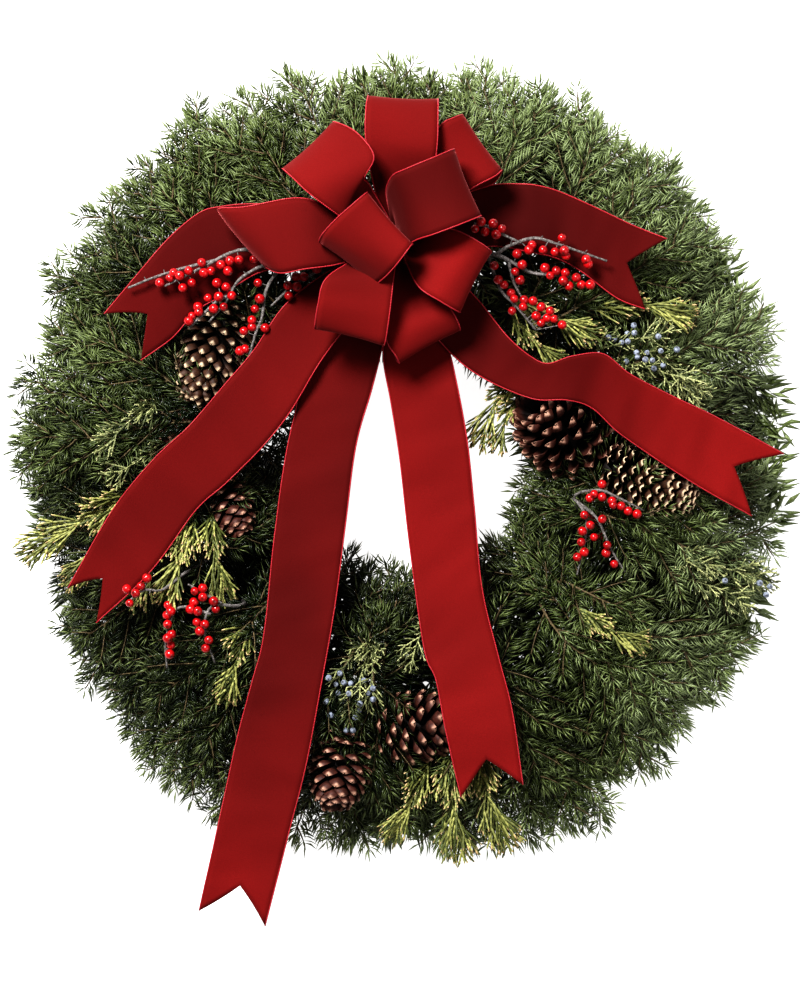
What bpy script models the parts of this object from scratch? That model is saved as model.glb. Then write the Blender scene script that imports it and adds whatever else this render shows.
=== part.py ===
"""Christmas wreath that lies on its back: metres, +Z out of its face, +Y towards its bow.

A clamp ring carries twelve bundles of fir tips. Cedar and juniper sprigs, pine cones and
winterberry twigs stand on them, and a velvet bow with six tails is tied on at the top.
Places are read off the photograph in pixels and turned into metres by spot().
"""
import math
import random
from dataclasses import dataclass

import bmesh
import bpy
from mathutils import Matrix, Vector

MM = 0.001

# Photograph: metres a pixel on the table top, and the camera straight above it
PIXEL = 0.0009
CAMERA_PX = (400, 500)
CAMERA_HEIGHT = 3.0
ORIGIN_PX = (400, 486)

# Clamp ring, 16 inches across its outer wire, with a flat underside at z = 0
RING_PX = (410, 462)
OUTER_RING_R = 206 * MM
INNER_RING_R = 176 * MM
RING_WIRE = 3.6 * MM
RING_SEGMENTS = 24
CLAMP_WIRE = 2.6 * MM
HANGER_WIRE = 2.0 * MM
GAP = 0.3 * MM

# Fir bundles, one in each clamp, each kept inside its own wedge of the ring
SECTORS = 12
SECTOR_STEP = math.tau / SECTORS
FIRST_SECTOR = math.radians(107.6)
CORE_R = 8 * MM
CORE_MID_R = 191 * MM
CORE_HALF_ARC = math.radians(12.5)
CORE_TAPER = 0.8
CLAMP_HALF_ARC = math.radians(2.2)
SPRIG_FOOT = -3.2 * MM
TWIG_FOOT = 3.2 * MM
CORE_Z = RING_WIRE + GAP + CORE_R
CORE_TOP = CORE_Z + CORE_R
FOOT_RISE = Vector((0, 0, 7 * MM))
FIR_LOW = 3 * MM
FIR_TOP = 80 * MM
FIR_REACH_MM = (366, 372, 352, 338, 348, 352, 352, 366, 350, 352, 346, 364)

# Fir frond: a bare butt, then a slim flat core with a needle out of every face
NEEDLE = 17 * MM
OUTER_BARE = 40 * MM
INNER_BARE = 26 * MM

# Ribbon, the standard 2 1/2 inch width
RIBBON_W = 63.5 * MM
RIBBON_T = 1.0 * MM
NOTCH = 27 * MM
TAIL_STEP = 26 * MM

# Bow, pinched at its knot right above the ring
KNOT_PX = (400, 240)
KNOT_Z = 116 * MM
KNOT_R = 11 * MM
KNOT_BASE_R = 20 * MM
KNOT_LOW = 100.6 * MM
TIE_WIRE = 2.4 * MM

# Winterberries and juniper berries
BERRY_R = 4.4 * MM
JUNIPER_BERRY_R = 2.8 * MM

NEEDLE_GREEN = (0.030, 0.085, 0.028)
CEDAR_GREEN = (0.150, 0.190, 0.035)
JUNIPER_GREEN = (0.110, 0.130, 0.060)
CONE_BROWN = (0.120, 0.055, 0.028)
BERRY_RED = (0.450, 0.012, 0.018)
VELVET_RED = (0.300, 0.010, 0.014)
WIRE_GREEN = (0.030, 0.060, 0.035)


def spot(px, py, z):
    """The place at height z that the camera sees at a pixel; what stands nearer it shows larger."""
    nearer = 1 - z / CAMERA_HEIGHT
    x = (CAMERA_PX[0] - ORIGIN_PX[0]) + (px - CAMERA_PX[0]) * nearer
    y = (ORIGIN_PX[1] - CAMERA_PX[1]) + (CAMERA_PX[1] - py) * nearer
    return Vector((x * PIXEL, y * PIXEL, z))


RING = spot(*RING_PX, 0)
KNOT = spot(*KNOT_PX, KNOT_Z)


def around(angle, out, aside, z):
    """A place on the ring: out from its centre at an angle, and aside along the wire."""
    turned = Matrix.Rotation(angle, 3, "Z") @ Vector((out, aside, 0))
    return RING + turned + Vector((0, 0, z))


def lerp(a, b, t):
    return a + (b - a) * t


def smoothstep(t):
    t = min(max(t, 0.0), 1.0)
    return t * t * (3 - 2 * t)


ROUTE_FINE = 6


class Route:
    """A smooth line through hand-set places, measured along its length."""

    def __init__(self, places):
        places = [Vector(p) for p in places]
        ends = [2 * places[0] - places[1], *places, 2 * places[-1] - places[-2]]
        self.dots = []
        for a, b, c, d in zip(ends, ends[1:], ends[2:], ends[3:]):
            for k in range(ROUTE_FINE):
                t = k / ROUTE_FINE
                bend = (2 * a - 5 * b + 4 * c - d) * t * t + (3 * (b - c) + d - a) * t**3
                self.dots.append(b + 0.5 * ((c - a) * t + bend))
        self.dots.append(places[-1])
        self.runs = [0.0]
        for a, b in zip(self.dots, self.dots[1:]):
            self.runs.append(self.runs[-1] + (b - a).length)
        self.length = self.runs[-1]
        self.first = (places[1] - places[0]).normalized()
        self.last = (places[-1] - places[-2]).normalized()

    def at(self, run):
        for i, reached in enumerate(self.runs[1:]):
            if run <= reached or i == len(self.runs) - 2:
                part = (run - self.runs[i]) / max(reached - self.runs[i], 1e-9)
                return lerp(self.dots[i], self.dots[i + 1], part)
        return self.dots[-1]

    def heading(self, run):
        if run <= 0:
            return self.first
        if run >= self.length:
            return self.last
        step = 0.02 * self.length
        return (self.at(min(run + step, self.length)) - self.at(max(run - step, 0))).normalized()


@dataclass(frozen=True)
class Capsule:
    """Room kept round a straight stretch of a stem or wire."""

    start: Vector
    end: Vector
    radius: float

    def near(self, place, margin):
        span = self.end - self.start
        t = (place - self.start).dot(span) / max(span.length_squared, 1e-12)
        nearest = self.start + span * min(max(t, 0), 1)
        return (place - nearest).length < self.radius + margin


@dataclass(frozen=True)
class Egg:
    """Room kept round a pine cone."""

    centre: Vector
    axis: Vector
    half_length: float
    half_width: float

    def near(self, place, margin):
        away = place - self.centre
        along = away.dot(self.axis)
        across = (away - along * self.axis).length
        longer = along / (self.half_length + margin)
        wider = across / (self.half_width + margin)
        return longer * longer + wider * wider < 1


@dataclass(frozen=True)
class Slab:
    """Room kept round a short stretch of ribbon, from its middle and its two directions."""

    centre: Vector
    along: Vector
    across: Vector
    half_length: float
    half_width: float

    def near(self, place, margin):
        away = place - self.centre
        if abs(away.dot(self.along)) > self.half_length + margin:
            return False
        if abs(away.dot(self.across)) > self.half_width + margin:
            return False
        return abs(away.dot(self.along.cross(self.across))) < 2.5 * MM + margin


class Room:
    """Where a spray may grow: over the surface, inside its wedge if it has one, clear of others."""

    def __init__(self, keep_out, top, angle=None):
        self.keep_out = list(keep_out)
        self.top = top
        self.angle = angle

    def holds(self, place, margin):
        if not FIR_LOW + margin < place.z < self.top - margin:
            return False
        away = place - RING
        out = math.hypot(away.x, away.y)
        if place.z < RING_WIRE + margin + GAP and INNER_RING_R - 8 * MM < out < OUTER_RING_R + 8 * MM:
            return False
        if self.angle is not None:
            turn = (math.atan2(away.y, away.x) - self.angle + math.pi) % math.tau - math.pi
            side = SECTOR_STEP / 2 - abs(turn)
            if side <= 0 or out * math.sin(side) < 0.5 * GAP + margin:
                return False
        return not any(one.near(place, margin) for one in self.keep_out)

    def line_clear(self, start, end, margin):
        return all(self.holds(lerp(start, end, t / 8), margin) for t in range(9))

    def clear_length(self, route, margin, start):
        """How far a stem can follow a route before it meets something."""
        run = start
        while run < route.length and self.holds(route.at(run), margin):
            run += 2 * MM
        return min(run, route.length)


def material(name, colour, roughness, metallic=0.0):
    made = bpy.data.materials.get(name)
    if made is None:
        made = bpy.data.materials.new(name)
        made.use_nodes = True
        shader = made.node_tree.nodes["Principled BSDF"]
        shader.inputs["Base Color"].default_value = (*colour, 1)
        shader.inputs["Roughness"].default_value = roughness
        shader.inputs["Metallic"].default_value = metallic
        made.diffuse_color = (*colour, 1)
    return made


def add_object(name, bm, look, smooth=False):
    """Turn a bmesh into a named object with its faces outward."""
    bmesh.ops.recalc_face_normals(bm, faces=bm.faces)
    for face in bm.faces:
        face.smooth = smooth
    mesh = bpy.data.meshes.new(name)
    bm.to_mesh(mesh)
    bm.free()
    mesh.materials.append(look)
    thing = bpy.data.objects.new(name, mesh)
    bpy.context.scene.collection.objects.link(thing)
    return thing


def fuse(base, grown):
    """Join what grows from a piece into it, as one closed body, and remove the loose operands."""
    if not grown:
        return base
    operands = bpy.data.collections.new(base.name + "_grown")
    for piece in grown:
        bpy.context.scene.collection.objects.unlink(piece)
        operands.objects.link(piece)
    union = base.modifiers.new("fused", "BOOLEAN")
    union.operation = "UNION"
    union.operand_type = "COLLECTION"
    union.collection = operands
    joined = None
    for solver in ("EXACT", "MANIFOLD"):
        union.solver = solver
        union.use_self = solver == "EXACT"
        graph = bpy.context.evaluated_depsgraph_get()
        joined = bpy.data.meshes.new_from_object(base.evaluated_get(graph))
        if is_closed(joined):
            break
    base.modifiers.clear()
    old, base.data = base.data, joined
    bpy.data.meshes.remove(old)
    for piece in list(operands.objects):
        bpy.data.objects.remove(piece)
    bpy.data.collections.remove(operands)
    return base


def is_closed(mesh):
    """Whether every edge has two faces."""
    uses = {}
    for face in mesh.polygons:
        for key in face.edge_keys:
            uses[key] = uses.get(key, 0) + 1
    return all(count == 2 for count in uses.values())


def side_frames(route, runs, up=Vector((0, 0, 1))):
    """Two directions square to a route at each run, turned as little as possible between them."""
    side = route.heading(runs[0]).cross(up)
    if side.length < 0.05:
        side = route.heading(runs[0]).cross(Vector((0, 1, 0)))
    frames = []
    for run in runs:
        ahead = route.heading(run)
        side = (side - ahead * side.dot(ahead)).normalized()
        frames.append((ahead, side, side.cross(ahead)))
    return frames


def tube_rings(bm, route, runs, radii, sides, turn=None):
    """Rings of vertices round a route."""
    turn = math.pi / sides if turn is None else turn
    rings = []
    for run, radius, frame in zip(runs, radii, side_frames(route, runs)):
        ring = []
        for k in range(sides):
            angle = turn + k * math.tau / sides
            out = frame[1] * math.cos(angle) + frame[2] * math.sin(angle)
            ring.append(bm.verts.new(route.at(run) + out * radius))
        rings.append(ring)
    return rings


def tube(bm, route, runs, radii, sides, turn=None):
    """A plain closed tube along a route, with flats above and below."""
    rings = tube_rings(bm, route, runs, radii, sides, turn)
    for low, high in zip(rings, rings[1:]):
        for k in range(sides):
            bm.faces.new((low[k], low[(k + 1) % sides], high[(k + 1) % sides], high[k]))
    bm.faces.new(rings[0][::-1])
    bm.faces.new(rings[-1])


def even_runs(route, count):
    return [route.length * i / count for i in range(count + 1)]


def raise_point(bm, face, tip):
    """Draw one face out to a point, as a needle, strand or scale."""
    centre = bmesh.ops.poke(bm, faces=[face])["verts"][0]
    centre.co = tip


@dataclass(frozen=True)
class Leafing:
    """How a spray is leafed: needle or strand length, its lean forward, the step between rows and
    the half width and half height of the core that they stand out of."""

    length: float
    lean: float
    step: float
    half_width: float
    half_height: float

    def spread(self):
        """How far a spray stands out from the line of its stem."""
        return self.half_width + self.length * math.cos(self.lean)


FIR = Leafing(NEEDLE, math.radians(38), 15 * MM, 10 * MM, 3.5 * MM)
CEDAR = Leafing(25 * MM, math.radians(60), 15.5 * MM, 3.5 * MM, 2.0 * MM)
JUNIPER = Leafing(17 * MM, math.radians(48), 14.5 * MM, 3.5 * MM, 2.0 * MM)
STEM_R = 1.8 * MM


def core_size(leafing, run, bare, reach):
    """Half width and half height of a spray's core: a bare round stem, then widest a third along."""
    if run < bare:
        return STEM_R, STEM_R
    t = (run - bare) / max(reach - bare, 1e-6)
    swell = math.sin(math.pi * min(0.18 + 0.82 * t, 1.0) ** 0.8) ** 0.7 if t < 1 else 0.0
    wide = max(leafing.half_width * swell, 0.8 * MM)
    return wide, max(leafing.half_height * swell, 0.8 * MM)


def leafy_stem(name, route, reach, bare, leafing, room, look, rise=()):
    """A flat three-sided core, each row turned half a side, with a needle drawn out of every face.

    The core is narrowed and the needles are shortened where they would leave their room.
    """
    count = max(round((reach - bare) / leafing.step), 2)
    runs = [0.0, *rise] + [lerp(bare, reach, i / count) for i in range(count + 1)]
    frames = side_frames(route, runs)
    bm = bmesh.new()
    rings = []
    for i, (run, (ahead, side, up)) in enumerate(zip(runs, frames)):
        wide, high = core_size(leafing, run, bare, reach)
        ring = []
        for k in range(3):
            angle = math.pi / 2 + (k + 0.5 * (i % 2)) * math.tau / 3
            offset = side * math.cos(angle) * wide + up * math.sin(angle) * high
            share = 1.0
            while run >= bare and share > 0.2 and not room.holds(route.at(run) + offset * share, 1.0 * MM):
                share -= 0.2
            ring.append(bm.verts.new(route.at(run) + offset * max(share, 0.15)))
        rings.append(ring)
    leafed = []
    for i, (low, high) in enumerate(zip(rings, rings[1:])):
        for k in range(3):
            next_low, next_high = low[(k + 1) % 3], high[(k + 1) % 3]
            if i % 2 == 0:
                corners = ((low[k], next_low, high[k]), (high[k], next_low, next_high))
            else:
                corners = ((low[k], next_high, high[k]), (low[k], next_low, next_high))
            made = [bm.faces.new(c) for c in corners]
            if runs[i] >= bare:
                leafed += [(face, lerp(runs[i], runs[i + 1], 0.5)) for face in made]
    bm.faces.new(rings[0][::-1])
    tip_face = bm.faces.new(rings[-1])
    bmesh.ops.recalc_face_normals(bm, faces=bm.faces)
    for face, run in leafed:
        root = face.calc_center_median()
        ahead = route.heading(run)
        away = root - route.at(run)
        out = (away - ahead * away.dot(ahead)).normalized()
        aim = out * math.cos(leafing.lean) + ahead * math.sin(leafing.lean)
        draw_out(bm, face, root, aim, leafing.length, room)
    draw_out(bm, tip_face, tip_face.calc_center_median(), route.heading(reach), leafing.length * 0.8, room)
    return add_object(name, bm, look)


def draw_out(bm, face, root, aim, length, room):
    """Draw a face out into a needle, as long as its room allows and no more."""
    for share in (1.0, 0.8, 0.6, 0.45, 0.3):
        far = length * share
        if all(room.holds(root + aim * far * t, 1.0 * MM) for t in (0.2, 0.4, 0.6, 0.8, 1.0)):
            raise_point(bm, face, root + aim * far)
            return


def build_frame():
    """Two ring wires, twelve clamps with prongs bent over the bundles, fused into one piece."""
    look = material("green_wire", WIRE_GREEN, 0.45, 0.6)
    parts = []
    for name, radius in (("wire_frame", OUTER_RING_R), ("inner_ring", INNER_RING_R)):
        bm = bmesh.new()
        half = RING_WIRE / 2
        corners = ((-half, 0), (half, 0), (half, RING_WIRE), (-half, RING_WIRE))
        profile = [bm.verts.new((radius + u, 0, z)) for u, z in corners]
        edges = [bm.edges.new((a, b)) for a, b in zip(profile, profile[1:] + profile[:1])]
        bmesh.ops.spin(bm, geom=profile + edges, cent=(0, 0, 0), axis=(0, 0, 1),
                       angle=math.tau, steps=RING_SEGMENTS, use_merge=True)
        bmesh.ops.remove_doubles(bm, verts=bm.verts, dist=1e-6)
        turn = FIRST_SECTOR + math.pi / RING_SEGMENTS
        bmesh.ops.rotate(bm, verts=bm.verts, matrix=Matrix.Rotation(turn, 3, "Z"))
        bmesh.ops.translate(bm, verts=bm.verts, vec=RING)
        parts.append(add_object(name, bm, look))
    over = CORE_TOP + GAP + CLAMP_WIRE / 2
    bar = RING_WIRE / 2
    profile = (
        (CORE_MID_R - 3 * MM, over),
        (INNER_RING_R, over),
        (INNER_RING_R, bar),
        (OUTER_RING_R, bar),
        (OUTER_RING_R, over),
        (CORE_MID_R + 3 * MM, over),
    )
    for index in range(SECTORS):
        angle = FIRST_SECTOR + index * SECTOR_STEP
        bm = bmesh.new()
        clamp_wire(bm, angle, profile)
        parts.append(add_object(f"clamp_{index}", bm, look))
    return fuse(parts[0], parts[1:])


def clamp_wire(bm, angle, profile):
    """A square wire bent through the points (out, height) of one clamp, mitred at its bends."""
    half = CLAMP_WIRE / 2
    rings = []
    points = [Vector((u, z)) for u, z in profile]
    for i, point in enumerate(points):
        before = (point - points[i - 1]).normalized() if i else (points[1] - point).normalized()
        after = (points[i + 1] - point).normalized() if i < len(points) - 1 else before
        ahead = (before + after).normalized()
        square = Vector((-ahead.y, ahead.x)) * half / max(ahead.dot(before), 0.3)
        ring = []
        for sign, aside in ((-1, -half), (1, -half), (1, half), (-1, half)):
            place = point + square * sign
            ring.append(bm.verts.new(around(angle, place.x, aside, place.y)))
        rings.append(ring)
    for low, high in zip(rings, rings[1:]):
        for k in range(4):
            bm.faces.new((low[k], low[(k + 1) % 4], high[(k + 1) % 4], high[k]))
    bm.faces.new(rings[0][::-1])
    bm.faces.new(rings[-1])


def build_hanger():
    """The wire loop at the back of the ring's top, which the real wreath hangs on."""
    angle = FIRST_SECTOR - SECTOR_STEP / 2
    low = HANGER_WIRE / 2 + GAP
    flat = (OUTER_RING_R + RING_WIRE / 2) * math.cos(math.pi / RING_SEGMENTS)
    foot = flat + HANGER_WIRE / 2 + GAP
    places = [
        around(angle, foot, -24 * MM, low),
        around(angle, foot + 9 * MM, -15 * MM, low),
        around(angle, foot + 20 * MM, 0, low),
        around(angle, foot + 9 * MM, 15 * MM, low),
        around(angle, foot, 24 * MM, low),
    ]
    route = Route(places)
    bm = bmesh.new()
    tube(bm, route, even_runs(route, 6), [HANGER_WIRE / 2] * 7, 4)
    return add_object("hanging_loop", bm, material("green_wire", WIRE_GREEN, 0.45, 0.6))


@dataclass(frozen=True)
class Cone:
    """A pine cone: its middle in the photograph, height, heading of its tip and size in mm."""

    name: str
    px: tuple
    z: float
    heading: float
    tilt: float
    length: float
    width: float
    around: int
    rows: int


CONES = (
    Cone("cone_left_upper", (215, 346), 60, -111, 6, 98, 60, 10, 9),
    Cone("cone_left_middle", (184, 436), 44, -150, 0, 56, 44, 8, 6),
    Cone("cone_left_lower", (224, 500), 54, -60, 10, 56, 46, 8, 6),
    Cone("cone_right_big", (564, 431), 52, 150, 34, 80, 78, 10, 8),
    Cone("cone_right_lower", (646, 483), 60, -22, 0, 80, 52, 10, 8),
    Cone("cone_bottom_right", (417, 727), 56, 8, 18, 74, 64, 9, 7),
    Cone("cone_bottom_left", (341, 764), 56, -100, 24, 64, 54, 9, 7),
)


def cone_axis(cone):
    level = math.radians(cone.heading)
    rise = math.radians(cone.tilt)
    return Vector((math.cos(level) * math.cos(rise), math.sin(level) * math.cos(rise), math.sin(rise)))


def cone_girth(t):
    """Share of a cone's half width at a share of its length: full a third up, rounded at both ends."""
    fullest = 0.36
    span = fullest + 0.1 if t < fullest else 1 - fullest + 0.02
    return math.sqrt(max(1 - ((t - fullest) / span) ** 2, 0.0))


def build_cone(cone):
    """A woody core whose lozenge faces are drawn out into scales, on a wire pick."""
    look = material("cone_scale", CONE_BROWN, 0.75)
    centre = spot(*cone.px, cone.z * MM)
    axis = cone_axis(cone)
    side = axis.cross(Vector((0, 0, 1))).normalized()
    up = side.cross(axis)
    length, half = cone.length * MM, cone.width * MM / 2
    core = 0.66
    bm = bmesh.new()
    rings = []
    for i in range(cone.rows):
        t = lerp(0.05, 0.93, i / (cone.rows - 1))
        ring = []
        for k in range(cone.around):
            angle = (k + 0.5 * (i % 2)) * math.tau / cone.around
            out = side * math.cos(angle) + up * math.sin(angle)
            ring.append(bm.verts.new(centre + axis * (t - 0.5) * length + out * half * core * cone_girth(t)))
        rings.append(ring)
    scales = []
    count = cone.around
    for i in range(cone.rows - 2):
        low, mid, high = rings[i], rings[i + 1], rings[i + 2]
        for k in range(count):
            point = (k + 1) % count if i % 2 == 0 else k
            scales.append(bm.faces.new((low[point], mid[(k + 1) % count], high[point], mid[k])))
    for first, second, flip in ((rings[0], rings[1], 0), (rings[-1], rings[-2], (cone.rows - 1) % 2)):
        for k in range(count):
            between = second[k] if flip == 0 else second[(k + 1) % count]
            bm.faces.new((first[k], first[(k + 1) % count], between))
        bm.faces.new(first)
    bmesh.ops.recalc_face_normals(bm, faces=bm.faces)
    for face in scales:
        root = face.calc_center_median()
        along = (root - centre).dot(axis)
        out = (root - centre - axis * along).normalized()
        t = along / length + 0.5
        reach = half * cone_girth(t) * (1 - core) + 1.5 * MM
        raise_point(bm, face, root + out * reach + axis * reach * lerp(-0.1, 0.9, t))
    base = add_object(cone.name, bm, look)
    route = cone_pick(cone)
    bm = bmesh.new()
    tube(bm, route, [0, route.runs[ROUTE_FINE], route.length], [1.1 * MM] * 3, 4)
    return fuse(base, [add_object(cone.name + "_pick", bm, look)])


def cone_pick(cone):
    """The wire from inside a cone down to the nearest core, upright at its foot."""
    centre = spot(*cone.px, cone.z * MM)
    foot = nearest_core_top(centre)
    return Route((centre - cone_axis(cone) * 0.2 * cone.length * MM, foot + FOOT_RISE, foot))


def cone_room(cone):
    middle = spot(*cone.px, cone.z * MM)
    return Egg(middle, cone_axis(cone), (cone.length / 2 + 5) * MM, (cone.width / 2 + 4) * MM)


def nearest_core_top(place, out=0.0):
    """The place just over the nearest bundle's core where a wire or stem ends."""
    away = place - RING
    turn = (math.atan2(away.y, away.x) - FIRST_SECTOR) / SECTOR_STEP
    middle = FIRST_SECTOR + round(turn) * SECTOR_STEP
    off = (turn - round(turn)) * SECTOR_STEP
    limit = CORE_HALF_ARC - math.radians(3)
    off = min(max(off, -limit), limit)
    if abs(off) < CLAMP_HALF_ARC:
        off = math.copysign(CLAMP_HALF_ARC, off)
    third = CORE_HALF_ARC / 3
    narrowed = 1 - (1 - CORE_TAPER) * max(abs(off) - third, 0) / (CORE_HALF_ARC - third)
    return around(middle + off, CORE_MID_R + out, 0, CORE_Z + CORE_R * narrowed + GAP)


@dataclass(frozen=True)
class Sprig:
    """A cedar or juniper sprig: each stem's places in the photograph as (px, py, height in mm)."""

    name: str
    leafing: Leafing
    stems: tuple
    berries: tuple = ()


SPRIGS = (
    Sprig("cedar_left", CEDAR, (
        ((216, 540, 58), (196, 576, 70), (162, 616, 62)),
        ((226, 572, 62), (222, 592, 68), (216, 612, 64)),
    )),
    Sprig("cedar_far_left", CEDAR, (
        ((166, 482, 40), (112, 508, 52), (62, 532, 50), (24, 556, 40)),
        ((128, 536, 46), (100, 566, 48), (70, 594, 40)),
    )),
    Sprig("juniper_left", JUNIPER, (
        ((160, 404, 56), (128, 422, 70), (98, 452, 66)),
    )),
    Sprig("cedar_lower_left", CEDAR, (
        ((262, 628, 48), (244, 660, 66), (226, 704, 62)),
    )),
    Sprig("cedar_upper_right", CEDAR, (
        ((506, 300, 62), (545, 318, 76), (590, 334, 76)),
        ((520, 340, 66), (532, 354, 68), (550, 374, 62)),
    )),
    Sprig("juniper_upper_right", JUNIPER, (
        ((600, 352, 62), (628, 346, 76), (668, 342, 74)),
        ((624, 374, 62), (660, 380, 70), (702, 394, 64)),
    ), ((634, 333), (656, 330), (655, 372))),
    Sprig("cedar_hole_right", CEDAR, (
        ((528, 372, 44), (498, 392, 62), (484, 438, 58)),
    )),
    Sprig("cedar_gold_right", CEDAR, (
        ((566, 600, 62), (600, 628, 76), (642, 648, 74)),
    )),
    Sprig("juniper_right_edge", JUNIPER, (
        ((650, 552, 40), (702, 566, 54), (752, 576, 50), (778, 590, 44)),
    ), ((726, 581), (760, 583), (767, 595))),
    Sprig("juniper_bottom", JUNIPER, (
        ((372, 640, 40), (362, 672, 68), (348, 706, 68), (344, 722, 62)),
    ), ((356, 672), (366, 688), (346, 704))),
    Sprig("cedar_bottom", CEDAR, (
        ((478, 724, 36), (486, 790, 58), (504, 850, 48)),
        ((456, 764, 52), (446, 812, 56), (438, 860, 46)),
    )),
    Sprig("cedar_bottom_inner", JUNIPER, (
        ((438, 612, 40), (418, 636, 62), (406, 668, 60)),
    )),
)


def sprig_routes(sprig):
    """A sprig's stems as routes that start on the nearest bundle's core, under its first stem."""
    px, py, z = sprig.stems[0][0]
    foot = nearest_core_top(spot(px, py, z * MM), SPRIG_FOOT)
    return [Route([foot, foot + FOOT_RISE, *(spot(px, py, z * MM) for px, py, z in stem)])
            for stem in sprig.stems]


def stem_rooms(route, runs, radius):
    """Room kept round the straight stretches between a stem's runs."""
    return [Capsule(route.at(a), route.at(b), radius) for a, b in zip(runs, runs[1:])]


def sprig_bare(route):
    """How much of a stem is bare: up to its first place in the photograph, after foot and rise."""
    return max(route.runs[2 * ROUTE_FINE], 14 * MM)


def build_sprig(sprig, keep_out):
    """A sprig's leafy stems and berries fused together."""
    juniper = sprig.leafing is JUNIPER
    look = material("juniper", JUNIPER_GREEN, 0.6) if juniper else material("cedar", CEDAR_GREEN, 0.55)
    room = Room(keep_out, 84 * MM)
    grown = []
    routes = sprig_routes(sprig)
    for i, route in enumerate(routes):
        name = f"{sprig.name}_stem_{i}"
        bare = sprig_bare(route)
        grown.append(leafy_stem(name, route, route.length, bare, sprig.leafing, room, look, (FOOT_RISE.z,)))
    for i, (px, py) in enumerate(sprig.berries):
        flat = spot(px, py, 70 * MM)
        near = min((r.at(r.length * k / 60) for r in routes for k in range(61)),
                   key=lambda p: (p.xy - flat.xy).length)
        aside = (flat - near)
        aside.z = 0.6 * aside.length + 1 * MM
        away = aside.normalized() * JUNIPER_BERRY_R * 0.8
        grown.append(berry(f"{sprig.name}_berry_{i}", near + away, JUNIPER_BERRY_R, look))
    base = grown.pop(0)
    base.name = sprig.name
    base.data.name = sprig.name
    return fuse(base, grown)


def berry(name, centre, radius, look):
    bm = bmesh.new()
    bmesh.ops.create_icosphere(bm, subdivisions=1, radius=radius, matrix=Matrix.Translation(centre))
    return add_object(name, bm, look)


@dataclass(frozen=True)
class Twig:
    """A winterberry spray: branching stems as (px, py, height in mm), and its berries' pixels."""

    name: str
    stems: tuple
    berries: tuple
    foot: tuple = ()


TWIGS = (
    Twig("winterberry_upper_left", (
        ((322, 258, 101), (290, 262, 104), (251, 252, 108), (207, 265, 110), (165, 286, 107)),
        ((222, 259, 109), (186, 268, 107), (128, 288, 103)),
        ((286, 262, 105), (245, 275, 106), (227, 300, 104), (209, 322, 101)),
        ((284, 262, 105), (266, 284, 104), (262, 317, 102), (245, 372, 97)),
    ), ((202, 259), (174, 278), (158, 284), (150, 274), (221, 268), (234, 282), (208, 316),
        (258, 290), (252, 331), (240, 351))),
    Twig("winterberry_left_bow", (
        ((318, 270, 101.2), (302, 279, 101.2), (288, 290, 102), (271, 306, 101)),
    ), ((297, 288), (281, 292))),
    Twig("winterberry_upper_right", (
        ((464, 262, 100.4), (492, 254, 104.2), (520, 266, 109), (555, 276, 109), (590, 285, 107)),
        ((496, 255, 106), (520, 241, 109), (560, 245, 111), (607, 261, 107)),
        ((488, 256, 105), (501, 288, 105), (518, 308, 103), (538, 331, 97)),
    ), ((481, 250), (532, 247), (552, 237), (590, 250), (540, 266), (563, 284),
        (504, 296), (520, 300), (534, 322))),
    Twig("winterberry_right", (
        ((574, 500, 66), (598, 490, 84), (617, 497, 86), (643, 510, 84)),
        ((575, 500, 68), (596, 517, 86), (604, 533, 84), (612, 551, 82), (625, 572, 78)),
        ((577, 501, 70), (586, 517, 86), (585, 540, 84), (578, 574, 78)),
    ), ((602, 485), (617, 503), (634, 503), (602, 519), (590, 545), (578, 558), (612, 560)), (596, 540)),
    Twig("winterberry_lower_left", (
        ((247, 602, 52), (236, 606, 80), (212, 606, 88), (204, 630, 87), (215, 663, 81)),
        ((222, 604, 87), (205, 594, 90), (188, 584, 88)),
        ((211, 614, 88), (178, 608, 88), (166, 640, 86), (167, 668, 80)),
    ), ((192, 592), (216, 600), (208, 624), (212, 644), (174, 612), (163, 626), (166, 656)), (247, 598)),
    Twig("winterberry_far_left", (
        ((186, 572, 80), (162, 590, 92), (144, 594, 99), (127, 604, 99)),
    ), ((130, 592), (142, 585), (150, 598)), (214, 556)),
)
TWIG_STEM_R = 1.4 * MM
TWIG_STEP = 32 * MM


def stem_runs(route):
    """Where a stem is bent: at even steps, and at the top of its upright foot."""
    runs = even_runs(route, max(int(route.length / TWIG_STEP), 2))
    if route.at(0).z < CORE_TOP + MM:
        runs.insert(1, FOOT_RISE.z)
    return runs


def stem_dots(route):
    """Close places along the straight stretches that a stem is built from."""
    bends = [route.at(run) for run in stem_runs(route)]
    return [lerp(a, b, k / 20) for a, b in zip(bends, bends[1:]) for k in range(21)]


def twig_routes(twig):
    """A spray's stems as routes; each side stem starts on the main one."""
    places = [spot(px, py, z * MM) for px, py, z in twig.stems[0]]
    if twig.foot:
        foot = nearest_core_top(spot(*twig.foot, 0), TWIG_FOOT)
        places = [foot, foot + FOOT_RISE, *places]
    routes = [Route(places)]
    main = stem_dots(routes[0])
    for stem in twig.stems[1:]:
        places = [spot(px, py, z * MM) for px, py, z in stem]
        places[0] = min(main, key=lambda p: (p - places[0]).length)
        routes.append(Route(places))
    return routes


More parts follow.
